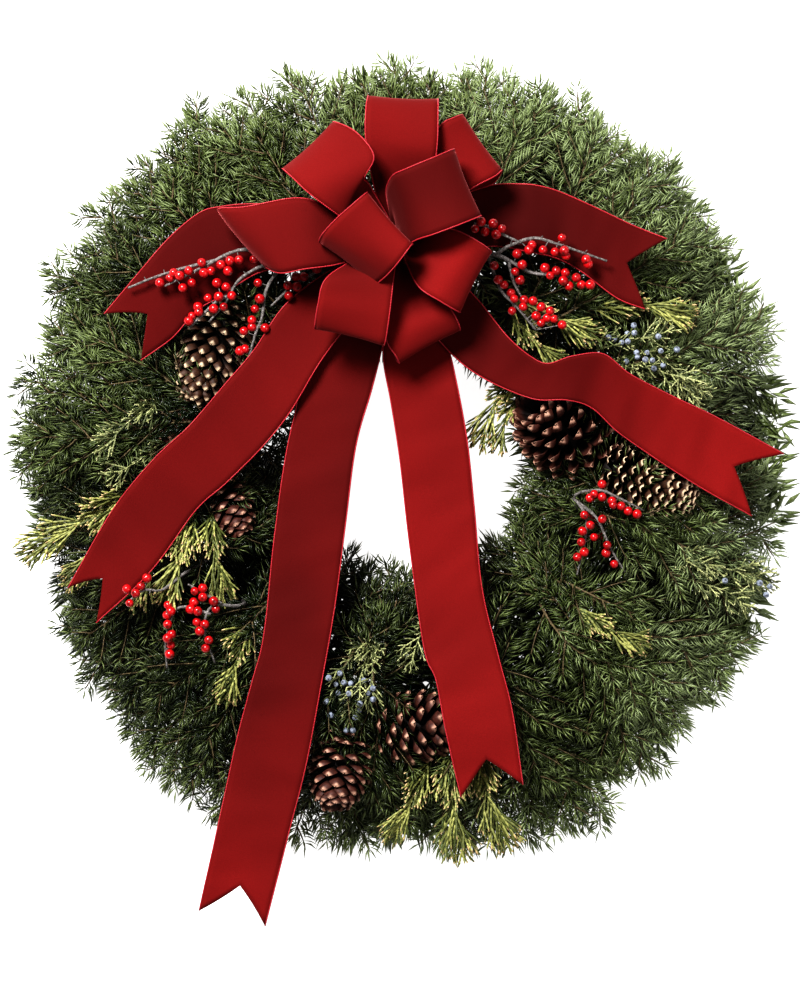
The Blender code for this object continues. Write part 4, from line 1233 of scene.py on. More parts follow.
@dataclass
class Sprig:
    """A cedar or juniper sprig: stems through places of the photograph, with strands and berries.

    A stem's places are pixel x, pixel y and height in mm. The longest side strand is in mm.
    """

    name: str
    leaf: Leaf
    stems: tuple[tuple[Place, ...], ...]
    palette: Palette
    press: Press
    seed: int
    berries: tuple[Pixel, ...]
    longest: float
    foot_z: float = 20.5
    berry_z: float = 74.0

    def stalks(self, rng: np.random.Generator) -> Twigs:
        """The main stems, each as two curves through its places.

        Args:
            rng: seeded source of their tilts.

        Returns:
            The curves.
        """
        mains = []
        for stem in self.stems:
            line = through(PHOTO.places(stem), 9)
            up = unit(UP + 0.15 * rng.normal(size=3))
            for a, b, c in ((0, 2, 4), (4, 6, 8)):
                middle = 2 * line[b] - (line[a] + line[c]) / 2
                mains.append(Twigs(line[a][None], middle[None], line[c][None], up[None], np.zeros(1)))
        return Twigs.joined(mains)

    def build(self) -> bpy.types.Object:
        """Make the sprig's piece.

        Returns:
            The piece.
        """
        rng = np.random.default_rng(self.seed)
        soup = Soup()
        main = self.stalks(rng)
        longest = self.longest * MM
        if self.leaf is Leaf.CEDAR:
            form, look = CEDAR_STRANDS, self.palette.cedar
            first = main.branched(rng, pitch=3.6 * MM, angle=math.radians(23), longest=longest,
                                  share=0.75, first=0.0, lift=0.28, twist=0.35)
            second = first.branched(rng, pitch=8.0 * MM, angle=math.radians(22), longest=22 * MM,
                                    share=0.6, first=0.10, lift=0.18, twist=0.40)
        else:
            form, look = JUNIPER_STRANDS, self.palette.juniper
            first = main.branched(rng, pitch=3.8 * MM, angle=math.radians(44), longest=longest,
                                  share=0.6, first=0.0, lift=0.45, twist=0.9)
            second = first.branched(rng, pitch=4.2 * MM, angle=math.radians(42), longest=10 * MM,
                                    share=0.5, first=0.10, lift=0.35, twist=0.9)
        for twigs in (main, first, second):
            form.grow(soup, twigs, rng, 0)
        self.foot(soup)
        if self.berries:
            self.fruit(soup, main, first, rng)
        soup.lay(self.press)
        strands = len(first.start) + len(second.start)
        LOG.info("%s: %d strands, %d berries", self.name, strands, len(self.berries))
        looks = [look, self.palette.fir_bark, self.palette.blue]
        return soup.stand_in(self.name + "_spray", looks, self.name)

    def foot(self, soup: Soup) -> None:
        """Add the bare stem from each first place down to the bundle under it.

        Args:
            soup: the piece that is being made.
        """
        for stem in self.stems:
            top, nxt = PHOTO.places(stem[:2])
            low = over_bundle(top, z=self.foot_z)
            low[:2] += (top - low)[:2] * 0.35
            line = through(np.array([low, (low + top) / 2 + UP * 6 * MM, top, top + (nxt - top) * 0.2]), 8)
            add_tubes(soup, line[None], np.linspace(1.7, 1.1, 8)[None] * MM, 6, 1)

    def fruit(self, soup: Soup, main: Twigs, first: Twigs, rng: np.random.Generator) -> None:
        """Add berries over the spray, each on the nearest strand.

        Args:
            soup: the piece that is being made.
            main: the main stems.
            first: the side strands.
            rng: seeded source of the differences.
        """
        flat = PHOTO.places([(px, py, self.berry_z) for px, py in self.berries])
        dots = np.concatenate([t.lines(7).reshape(-1, 3) for t in (main, first)])
        roots = nearest(flat, dots)
        radius = rng.uniform(2.5, 3.0, len(flat)) * MM
        centres = np.concatenate([flat[:, :2], roots[:, 2:] + radius[:, None] * 1.1], 1)
        ends = unit(centres - roots + UP * 2 * MM + rng.normal(size=(len(flat), 3)) * MM)
        add_spheres(soup, centres, radius, ends, 2, 7, 10)
        stalks = np.stack([roots, (roots + centres) / 2, centres], 1)
        add_tubes(soup, stalks, np.full((len(flat), 3), 0.6 * MM), 4, 1)


@dataclass(frozen=True)
class ScaleForm:
    """A cone scale's outline and thickness at stations along it, and how its end curls up."""

    widths: tuple[float, ...]
    thickness: tuple[float, ...]
    curl: float
    keel: float
    stations: tuple[float, ...] = (0.0, 0.3, 0.6, 0.78, 0.90, 1.0)


KEELED = ScaleForm((0.35, 0.60, 0.92, 1.0, 0.62, 0.07), (0.14, 0.14, 0.18, 0.24, 0.20, 0.05), 0.50, 1.0)
LIPPED = ScaleForm((0.40, 0.70, 0.95, 1.05, 0.95, 0.50), (0.12, 0.12, 0.12, 0.12, 0.10, 0.07), 0.25, 0.0)


@dataclass
class PineCone:
    """A pine cone: scales set on a spiral, opening towards its base.

    It stands at a pixel and a height in mm, with its tip at a heading and a tilt in degrees.
    """

    name: str
    px: Pixel
    z: float
    heading: float
    tilt: float
    length: float
    width: float
    scales: int
    palette: Palette
    gold: bool = False
    opened: float = 0.35
    form: ScaleForm = KEELED
    broad: float = 14.0

    def build(self) -> bpy.types.Object:
        """Make the cone's piece.

        Returns:
            The piece.
        """
        rng = np.random.default_rng(int(self.px[0]) * 7 + int(self.px[1]))
        level, rise = math.radians(self.heading), math.radians(self.tilt)
        axis = np.array([math.cos(level) * math.cos(rise), math.sin(level) * math.cos(rise), math.sin(rise)])
        centre = PHOTO.places([*self.px, self.z])
        soup = Soup()
        self.set_scales(soup, centre, axis, rng)
        self.core(soup, centre, axis)
        self.pick(soup, centre, axis)
        look = self.palette.gold_scale if self.gold else self.palette.red_scale
        LOG.info("%s: %d scales", self.name, self.scales)
        return soup.stand_in(self.name + "_scales", [look, self.palette.wire], self.name)

    def set_scales(self, soup: Soup, centre: np.ndarray, axis: np.ndarray, rng: np.random.Generator) -> None:
        """Add the scales, each a grid of five by six points, top and bottom.

        They stand round the axis at the golden angle, steeper towards the tip. A scale is narrow
        at its root and widest at three quarters, and ends in a keeled point or a thin round lip.

        Args:
            soup: the piece that is being made.
            centre: the cone's middle.
            axis: its direction.
            rng: seeded source of the differences.
        """
        side = unit(np.cross(axis, UP))
        up = np.cross(side, axis)
        n = self.scales
        order = np.arange(n)
        t = 0.03 + 0.93 * ((order + 0.5) / n) ** 0.92
        girth = np.sqrt(np.clip(1 - ((t - 0.36) / np.where(t < 0.36, 0.46, 0.66)) ** 2, 0.02, 1))
        half, length = self.width / 2 * MM, self.length * MM
        turn = order * GOLDEN
        out = side * np.cos(turn)[:, None] + up * np.sin(turn)[:, None]
        across = -side * np.sin(turn)[:, None] + up * np.cos(turn)[:, None]
        climb = np.radians(10 + 62 * t**1.2 - 26 * self.opened * (1 - t)) + 0.07 * rng.normal(size=n)
        aim = out * np.cos(climb)[:, None] + axis * np.sin(climb)[:, None]
        lid = np.cross(across, aim)
        lid = lid * np.sign(np.sum(lid * axis, -1, keepdims=True))
        core = 0.34
        root = centre + axis * ((t - 0.5) * length * 0.92)[:, None] + out * (half * core * girth)[:, None]
        reach = half * girth * (1 - core) / np.maximum(np.cos(climb * 0.72), 0.45) + 2.0 * MM
        wide = np.clip(1.30 * math.tau * half * girth / 8.0, 5 * MM, self.broad * MM)
        u = np.linspace(-1, 1, 5)[:, None]
        v = np.array([self.form.stations])
        shape, thick = np.array([self.form.widths]), np.array([self.form.thickness])
        ridge = thick * (1 - 0.80 * np.abs(u) ** 1.2)
        cup = 0.10 * u**2
        curl = cup - 0.12 * v**2 + self.form.curl * np.clip(v - 0.72, 0, 1)
        sides = []
        for sign in (1.0, -1.0):
            height = curl + sign * ridge * 0.30
            far = reach[:, None, None] * (v + 0 * u)
            grid = (root[:, None, None] + aim[:, None, None] * far[..., None]
                    + across[:, None, None] * (wide[:, None, None] * 0.5 * shape * u)[..., None]
                    + lid[:, None, None] * (reach[:, None, None] * height)[..., None])
            sides.append(grid.reshape(n, -1, 3))
        points = np.concatenate(sides, 1)
        base = np.arange(30).reshape(5, 6)
        quads = np.stack([base[:-1, :-1], base[1:, :-1], base[1:, 1:], base[:-1, 1:]], -1).reshape(-1, 4)
        under = quads[:, ::-1] + 30
        rim = np.concatenate([base[0, :], base[1:, -1], base[-1, -2::-1], base[-2:0:-1, 0]])
        rim_next = np.roll(rim, -1)
        wall = np.stack([rim, rim_next, rim_next + 30, rim + 30], -1)
        pattern = np.concatenate([quads, under, wall])
        shift = (np.arange(n) * 60)[:, None, None]
        along = np.tile(np.broadcast_to(v, (5, 6)).reshape(-1), 2)
        boss = (np.exp(-((u / 0.26) ** 2)) * ease((v - 0.80) / 0.15) * self.form.keel).reshape(-1)
        boss = np.concatenate([boss, boss * 0])
        faces = [(pattern[None] + shift).reshape(-1, 4)]
        soup.add(points, faces, 0, along=np.tile(along, n), boss=np.tile(boss, n))

    def core(self, soup: Soup, centre: np.ndarray, axis: np.ndarray) -> None:
        """Add the spindle inside the scales, in the near-black painted shade of the scales' roots.

        Args:
            soup: the piece that is being made.
            centre: the cone's middle.
            axis: its direction.
        """
        half, length = self.width / 2 * MM, self.length * MM
        t = np.linspace(0.02, 0.97, 9)
        line = centre + axis * ((t - 0.5) * length * 0.9)[:, None]
        girth = np.sqrt(np.clip(1 - ((t - 0.4) / 0.6) ** 2, 0.02, 1))
        add_tubes(soup, line[None], (half * 0.45 * girth)[None], 10, 0)

    def pick(self, soup: Soup, centre: np.ndarray, axis: np.ndarray) -> None:
        """Add the wire that holds the cone to the bundle under it.

        Args:
            soup: the piece that is being made.
            centre: the cone's middle.
            axis: its direction.
        """
        foot = over_bundle(centre)
        start = centre - axis * 0.2 * (self.length * MM)
        line = through(np.array([start, foot + UP * 7 * MM, foot]), 8)
        add_tubes(soup, line[None], np.full((1, 8), 1.0 * MM), 6, 1)


@dataclass
class BerrySpray:
    """A winterberry spray: grey twigs through places of the photograph, and its berries.

    A stem's places are pixel x, pixel y and height in mm. The butt is the thickest radius in mm.
    A spray with a foot stands on the bundle under that pixel.
    """

    name: str
    stems: tuple[tuple[Place, ...], ...]
    berries: tuple[Pixel, ...]
    palette: Palette
    foot: Pixel | None = None
    butt: float = 1.9
    foot_out: float = 194.0
    berry_z: float = 100.0

    def build(self) -> bpy.types.Object:
        """Make the spray's piece.

        Returns:
            The piece.
        """
        rng = np.random.default_rng(int(self.berries[0][0] * 13 + self.berries[0][1]))
        soup = Soup()
        dots = []
        for i, stem in enumerate(self.stems):
            places = PHOTO.places(stem)
            if i == 0 and self.foot:
                low = over_bundle(PHOTO.places([*self.foot, 0]), self.foot_out)
                places = np.concatenate([[low, low + UP * 7 * MM], places])
            line = through(places, 26)
            knots = 1 + 0.16 * np.abs(np.sin(np.linspace(0, 17, 26))) + 0.08 * rng.random(26)
            taper = np.linspace(1.0 if i == 0 else 0.72, 0.42, 26)
            add_tubes(soup, line[None], (self.butt * MM * knots * taper)[None], 8, 0)
            dots.append(line)
            self.spurs(soup, line, rng)
        dots = np.concatenate(dots)
        rough = PHOTO.places([(px, py, self.berry_z) for px, py in self.berries])
        flat = PHOTO.places(np.column_stack([self.berries, nearest(rough, dots)[:, 2] / MM]))
        roots = nearest(flat, dots)
        radius = rng.uniform(3.7, 4.5, len(flat)) * MM
        aside = np.linalg.norm((flat - roots)[:, :2], axis=1)
        lift = np.sqrt(np.clip((radius * 1.25) ** 2 - aside**2, 0, None)) + 0.15 * aside
        centres = flat + UP * lift[:, None]
        away = unit(centres - roots)
        middle = roots * 0.5 + centres * 0.5 + UP * 0.4 * MM
        stalk = np.stack([roots, middle, centres - away * radius[:, None] * 0.9], 1)
        add_tubes(soup, stalk, np.full((len(flat), 3), 0.55 * MM), 5, 0)
        add_spheres(soup, centres, radius, unit(away + 0.35 * rng.normal(size=away.shape)), 1)
        LOG.info("%s: %d berries", self.name, len(flat))
        looks = [self.palette.grey_bark, self.palette.red]
        return soup.stand_in(self.name + "_spray", looks, self.name)

    def spurs(self, soup: Soup, line: np.ndarray, rng: np.random.Generator) -> None:
        """Add short dead spurs where berries have dropped.

        Args:
            soup: the piece that is being made.
            line: (m, 3) the twig.
            rng: seeded source of their directions.
        """
        at = line[5:-2:5]
        aim = unit(rng.normal(size=at.shape) + UP * 0.4)
        lines = np.stack([at, at + aim * 2.4 * MM, at + aim * 4.0 * MM], 1)
        add_tubes(soup, lines, np.tile([0.7, 0.55, 0.4], (len(at), 1)) * MM, 5, 0)


@dataclass
class Ribbon:
    """A velvet ribbon surface between two given edges, with wired edges sewn in bright thread.

    A station is (ax, ay, az, bx, by, bz): the pixel and height in mm of each edge. Between the
    stations both edges run on Catmull-Rom lines, and the cloth spans them with a slight crown.
    Crown, ripple, notch and pleat are in mm, and a wave is its pitch in mm, its skew across the
    ribbon and its share. The nap tells from end to end how dark the cloth is painted:
    partly the lie of the pile, partly painted shade at the knot and where the bow and cones shade it.
    """

    name: str
    stations: tuple[tuple[float, ...], ...]
    rows: int
    thickness: float = 0.9 * MM
    edge: float = 0.62 * MM
    columns: int = 13
    crown: float = 1.2
    ripple: float = 1.0
    notch: float = 0.0
    pleat: float = 0.0
    pleat_ends: tuple[bool, bool] = (True, False)
    pleat_reach: float = 34 * MM
    waves: tuple[Place, ...] = ((61, 1.3, 0.55), (37, -2.0, 0.3), (23, 3.0, 0.15))
    seed: int = 0
    nap: tuple[float, ...] = (0.3,)

    def edges(self) -> tuple[np.ndarray, np.ndarray]:
        """Both edges, at even steps of their middle line.

        Returns:
            The points of each, (rows, 3).
        """
        rows = np.asarray(self.stations, float)
        a, b = PHOTO.places(rows[:, :3]), PHOTO.places(rows[:, 3:])
        both = through(np.concatenate([(a + b) / 2, a, b], 1), self.rows)
        return both[:, 3:6], both[:, 6:9]

    def sheet(self) -> tuple[np.ndarray, np.ndarray, float]:
        """The cloth's middle surface.

        Returns:
            Points (columns, rows, 3), normals of the same shape, and the middle line's length.
        """
        a, b = self.edges()
        length = float(np.linalg.norm(np.diff((a + b) / 2, axis=0), axis=1).sum())
        u = np.linspace(0, 1, self.columns)
        bend = np.abs(2 * u - 1)[:, None]
        v = np.linspace(0, 1, self.rows)[None]
        cut = self.notch * MM / length * (1 - bend) * ease((v - 0.72) / 0.28)
        want = np.clip(v * (1 + 0 * bend) - cut, 0, 1)
        steps = want * (self.rows - 1)
        low = np.clip(steps.astype(int), 0, self.rows - 2)
        part = (steps - low)[..., None]
        edge_a = a[low] * (1 - part) + a[low + 1] * part
        edge_b = b[low] * (1 - part) + b[low + 1] * part
        flat = edge_a * (1 - u[:, None, None]) + edge_b * u[:, None, None]
        surface = flat + self.normals(flat) * self.lift(want * length, u[:, None], length)[..., None]
        return surface, self.normals(surface), length

    def lift(self, run: np.ndarray, u: np.ndarray, length: float) -> np.ndarray:
        """How far the cloth stands off the straight span between its edges.

        It is the crown, the waves along the ribbon, and three pleats across it at a pinched end.

        Args:
            run: (columns, rows) distances along the ribbon in metres.
            u: (columns, 1) shares of the way across.
            length: the ribbon's length in metres.

        Returns:
            (columns, rows) heights in metres.
        """
        phase = np.random.default_rng(40 + self.seed).uniform(0, math.tau, len(self.waves))
        wave = sum(np.sin(run / (pitch * MM) * math.tau + start + skew * u) * share
                   for (pitch, skew, share), start in zip(self.waves, phase))
        gather = np.zeros_like(run)
        for pinched, away in zip(self.pleat_ends, (run, length - run)):
            if pinched:
                gather = gather + 1 - ease(away / self.pleat_reach)
        folds = np.cos(u * math.tau * 3.0) * gather * self.pleat
        return (self.crown * (1 - (2 * u - 1) ** 2) + self.ripple * wave + folds) * MM

    @staticmethod
    def normals(grid: np.ndarray) -> np.ndarray:
        """Normals of a grid of points, from its two directions."""
        return unit(np.cross(np.gradient(grid, axis=1), np.gradient(grid, axis=0)))

    def add(self, soup: Soup) -> float:
        """Add the cloth and its edges to a piece.

        Args:
            soup: the piece that is being made.

        Returns:
            The ribbon's length in metres.
        """
        surface, normal, length = self.sheet()
        c, r = surface.shape[:2]
        half = self.thickness / 2
        u = np.linspace(0, 1, c)[:, None]
        soft = np.sqrt(np.clip(1 - (2 * u - 1) ** 12, 0.1, 1))[..., None]
        points = np.concatenate([(surface + normal * half * soft).reshape(-1, 3),
                                 (surface - normal * half * soft).reshape(-1, 3)])
        base = np.arange(c * r).reshape(c, r)
        quads = np.stack([base[:-1, :-1], base[:-1, 1:], base[1:, 1:], base[1:, :-1]], -1).reshape(-1, 4)
        rim = np.concatenate([base[0, :-1], base[:-1, -1], base[-1, :0:-1], base[:0:-1, 0]])
        after = np.roll(rim, -1)
        wall = np.stack([rim, rim + c * r, after + c * r, after], -1)
        nap = np.interp(np.linspace(0, 1, r), np.linspace(0, 1, len(self.nap)), self.nap)
        nap = np.tile(np.broadcast_to(nap[None], (c, r)).reshape(-1), 2)
        soup.add(points, [quads, quads[:, ::-1] + c * r, wall], 0, nap=nap)
        lines = np.stack([surface[0], surface[-1]])
        run = np.linspace(0, length, r)
        facing = np.tile([[0.3, 0.2, 0.93]], (2, 1))
        add_tubes(soup, lines, np.full((2, r), self.edge), 6, 1, facing, run=run[None])
        return length


@dataclass
class RibbonTail:
    """One of the six tails, a ribbon with a V cut out of its end."""

    ribbon: Ribbon
    palette: Palette

    def build(self) -> bpy.types.Object:
        """Make the tail's piece.

        Returns:
            The piece.
        """
        name = self.ribbon.name
        soup = Soup()
        length = self.ribbon.add(soup)
        looks = [self.palette.velvet, self.palette.thread]
        piece = soup.stand_in(name + "_velvet", looks, name)
        LOG.info("%s: %.0f mm long", name, length / MM)
        return piece


@dataclass
class Bow:
    """The bow: nine loops of one ribbon, pinched at the knot."""

    loops: tuple[Ribbon, ...]
    palette: Palette

    def build(self) -> bpy.types.Object:
        """Make the bow's piece.

        Returns:
            The piece.
        """
        soup = Soup()
        total = sum(loop.add(soup) for loop in self.loops)
        looks = [self.palette.velvet, self.palette.thread]
        piece = soup.stand_in("bow_ribbon", looks, "bow_loops")
        LOG.info("bow: nine loops, %.2f m of ribbon", total)
        return piece


@dataclass
class RingFrame:
    """The wire ring with its clamps, its hanging loop and the bow's tie wire.

    Lengths are in mm: radii of the two ring wires, thicknesses of wire and clamps as radii, and
    over, the height of the prongs that are bent over the stems.
    """

    palette: Palette
    outer: float = 206.0
    inner: float = 176.0
    wire: float = 1.8
    clamp: float = 1.3
    over: float = 21.5
    shoulder: float = 6.0

    def clamp_lines(self) -> np.ndarray:
        """The middle lines of the clamps: each a U with its prongs bent over the bundle.

        Returns:
            (clamps, points, 3) places in metres.
        """
        bend = self.over - 3
        profile = (
            (188, self.over), (178, self.over), (self.inner, bend), (self.inner, self.shoulder),
            (self.inner + 2, self.wire), (BUNDLE_RADIUS, self.wire), (self.outer - 2, self.wire),
            (self.outer, self.shoulder), (self.outer, bend), (204, self.over), (194, self.over))
        turns = [FIRST_CLAMP + i * math.tau / CLAMPS for i in range(CLAMPS)]
        return np.stack([through([around(turn, r, 0, z) for r, z in profile], 34) for turn in turns])

    def build(self) -> None:
        """Make the ring's piece, and finish the two small wires in place."""
        soup = Soup()
        turn = np.linspace(0, math.tau, 97)
        for radius in (self.outer, self.inner):
            rim = np.stack([radius * np.cos(turn), radius * np.sin(turn), 0 * turn + self.wire], -1)
            add_tubes(soup, (RING + rim * MM)[None], np.full((1, 97), self.wire * MM), 8)
        lines = self.clamp_lines()
        add_tubes(soup, lines, np.full(lines.shape[:2], self.clamp * MM), 8)
        soup.stand_in("clamp_ring", [self.palette.wire], "wire_frame")
        for name in ("hanging_loop", "bow_tie_wire"):
            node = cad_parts[name]
            node.data.materials.clear()
            node.data.materials.append(self.palette.wire)
        LOG.info("ring and clamps")


@dataclass
class Studio:
    """Floor, soft lights and camera.

    Half is half the floor's side in metres, and glow and sky are how bright the floor and the air
    shine by themselves. Lens and sensor are in mm.
    """

    half: float = 12.0
    glow: float = 0.66
    sky: float = 0.16
    lens: float = 120.0
    sensor: float = 36.0

    def build(self) -> None:
        """Make the plain setting."""
        white = (1.0, 1.0, 1.0, 1.0)
        s = Shader("pale_floor", 0.9, Specular_IOR_Level=0.1, Emission_Color=white,
                   Emission_Strength=self.glow)
        s.colour(s.mix(s.noise(3.0, 2.0), (0.60, 0.60, 0.60), (0.62, 0.62, 0.62)))
        soup = Soup()
        corners = self.half * np.array([[-1, -1, 0], [1, -1, 0], [1, 1, 0], [-1, 1, 0]], float)
        soup.add(corners, [np.array([[0, 1, 2, 3]])])
        soup.build("floor", [s.material])
        scene = bpy.context.scene
        scene.world = bpy.data.worlds.new("studio")
        scene.world.use_nodes = True
        background = scene.world.node_tree.nodes["Background"]
        background.inputs["Color"].default_value = white
        background.inputs["Strength"].default_value = self.sky
        self.light("key", (-1.0, 1.5, 2.3), 0.9, 132.0)
        self.light("fill", (1.6, -0.6, 2.0), 1.8, 14.0)
        lens = bpy.data.cameras.new("camera")
        camera = bpy.data.objects.new("camera", lens)
        scene.collection.objects.link(camera)
        lens.lens = self.lens
        lens.sensor_width = self.sensor
        lens.clip_start, lens.clip_end = 0.1, 20.0
        at = PHOTO.places([*PHOTO.centre, 0.0])
        camera.location = (at[0], at[1], PHOTO.height)
        scene.camera = camera
        scene.view_settings.view_transform = "Standard"
        scene.view_settings.look = "High Contrast"

    @staticmethod
    def light(name: str, place: Place, size: float, power: float) -> None:
        """Add a square soft light that faces the wreath.

        Args:
            name: the light's name.
            place: where it hangs in metres.
            size: its side in metres.
            power: its power in watts.
        """
        lamp = bpy.data.lights.new(name, "AREA")
        lamp.size = size
        lamp.energy = power
        thing = bpy.data.objects.new(name, lamp)
        bpy.context.scene.collection.objects.link(thing)
        thing.location = place
        thing.rotation_euler = (-Vector(place)).to_track_quat("-Z", "Y").to_euler()


def sprigs(palette: Palette, press: Press) -> list[Sprig]:
    """Every cedar and juniper sprig, with its name, kind, longest strand in mm and stems.

    Args:
        palette: the materials.
        press: the ribbons that lie over the sprigs.

    Returns:
        The sprigs.
    """
    cedar, juniper = Leaf.CEDAR, Leaf.JUNIPER
    rows = (
        ("cedar_left", cedar, 52, (
            ((182, 505, 70), (158, 552, 84), (132, 600, 74)),
            ((198, 508, 70), (180, 556, 86), (168, 598, 76)),
            ((212, 510, 68), (214, 552, 84), (226, 592, 74)))),
        ("cedar_far_left", cedar, 40, (
            ((150, 486, 50), (108, 508, 62), (62, 532, 58), (26, 556, 48)),
            ((140, 512, 50), (100, 548, 60), (70, 584, 50)))),
        ("juniper_left", juniper, 28, (
            ((160, 400, 66), (128, 422, 80), (98, 456, 74)),
            ((164, 440, 60), (134, 464, 74), (104, 478, 66)))),
        ("cedar_lower_left", cedar, 34, (((250, 622, 62), (238, 656, 80), (226, 700, 70)),)),
        ("cedar_upper_right", cedar, 40, (
            ((506, 296, 74), (545, 316, 84), (596, 334, 80)),
            ((512, 316, 70), (532, 340, 80), (560, 362, 74)),
            ((590, 310, 72), (640, 304, 82), (690, 318, 76)))),
        ("juniper_upper_right", juniper, 28, (
            ((596, 350, 72), (634, 340, 84), (676, 330, 80)),
            ((606, 366, 70), (650, 368, 82), (712, 392, 74)),
            ((640, 350, 72), (672, 366, 82), (700, 410, 74)))),
        ("cedar_hole_right", cedar, 50, (
            ((532, 372, 56), (500, 394, 70), (480, 440, 62)),
            ((524, 392, 56), (506, 416, 68), (500, 446, 60)))),
        ("cedar_gold_right", cedar, 36, (((574, 606, 70), (606, 628, 82), (644, 646, 76)),)),
        ("juniper_right_edge", juniper, 28, (
            ((672, 556, 48), (712, 566, 64), (748, 574, 60), (776, 586, 48)),
            ((690, 580, 48), (728, 592, 62), (750, 612, 52)))),
        ("juniper_bottom", juniper, 26, (
            ((372, 632, 56), (362, 672, 78), (348, 716, 72)),
            ((372, 640, 60), (372, 676, 80), (366, 712, 72)),
            ((366, 640, 58), (344, 668, 78), (332, 700, 72)))),
        ("cedar_bottom", cedar, 44, (
            ((470, 730, 50), (486, 792, 72), (506, 846, 58)),
            ((456, 740, 52), (452, 800, 70), (462, 856, 56)),
            ((430, 760, 50), (412, 800, 66), (392, 838, 54)))),
        ("cedar_bottom_inner", juniper, 26, (((440, 606, 54), (420, 636, 70), (408, 672, 66)),)),
    )
    berries = {
        "juniper_upper_right": (
            (633, 326), (633, 334), (627, 334), (614, 339), (621, 343), (627, 342), (608, 338), (636, 353),
            (636, 358), (647, 353), (643, 361), (651, 361), (659, 352), (653, 369), (662, 366), (676, 350),
            (626, 362), (656, 338)),
        "juniper_bottom": (
            (340, 673), (329, 677), (344, 682), (351, 683), (355, 691), (349, 693), (338, 693), (326, 701),
            (344, 701), (360, 703), (373, 688), (368, 693), (373, 699), (359, 710), (331, 715), (355, 717),
            (346, 730), (353, 730), (336, 684), (364, 680)),
        "juniper_right_edge": ((726, 581), (760, 583), (767, 595), (772, 587)),
    }
    return [Sprig(name, leaf, stems, palette, press, 60 + i, berries.get(name, ()), longest)
            for i, (name, leaf, longest, stems) in enumerate(rows)]


def cones(palette: Palette) -> list[PineCone]:
    """The seven pine cones: name, pixel, height, heading, tilt, length, width and count of scales.

    Args:
        palette: the materials.

    Returns:
        The cones.
    """
    return [
        PineCone("cone_left_upper", (215, 346), 60, -111, 6, 100, 64, 150, palette, gold=True, broad=11.0),
        PineCone("cone_left_middle", (184, 436), 44, -150, 0, 58, 46, 70, palette),
        PineCone("cone_left_lower", (224, 500), 54, -60, 10, 58, 48, 70, palette),
        PineCone("cone_right_big", (566, 431), 54, 150, 40, 84, 84, 104, palette, opened=1.0, broad=12.0),
        PineCone("cone_right_lower", (643, 481), 60, -22, 4, 86, 58, 170, palette,
                 gold=True, form=LIPPED, broad=9.5),
        PineCone("cone_bottom_right", (415, 727), 56, 8, 18, 76, 66, 90, palette),
        PineCone("cone_bottom_left", (341, 764), 56, -100, 24, 66, 58, 80, palette),
    ]


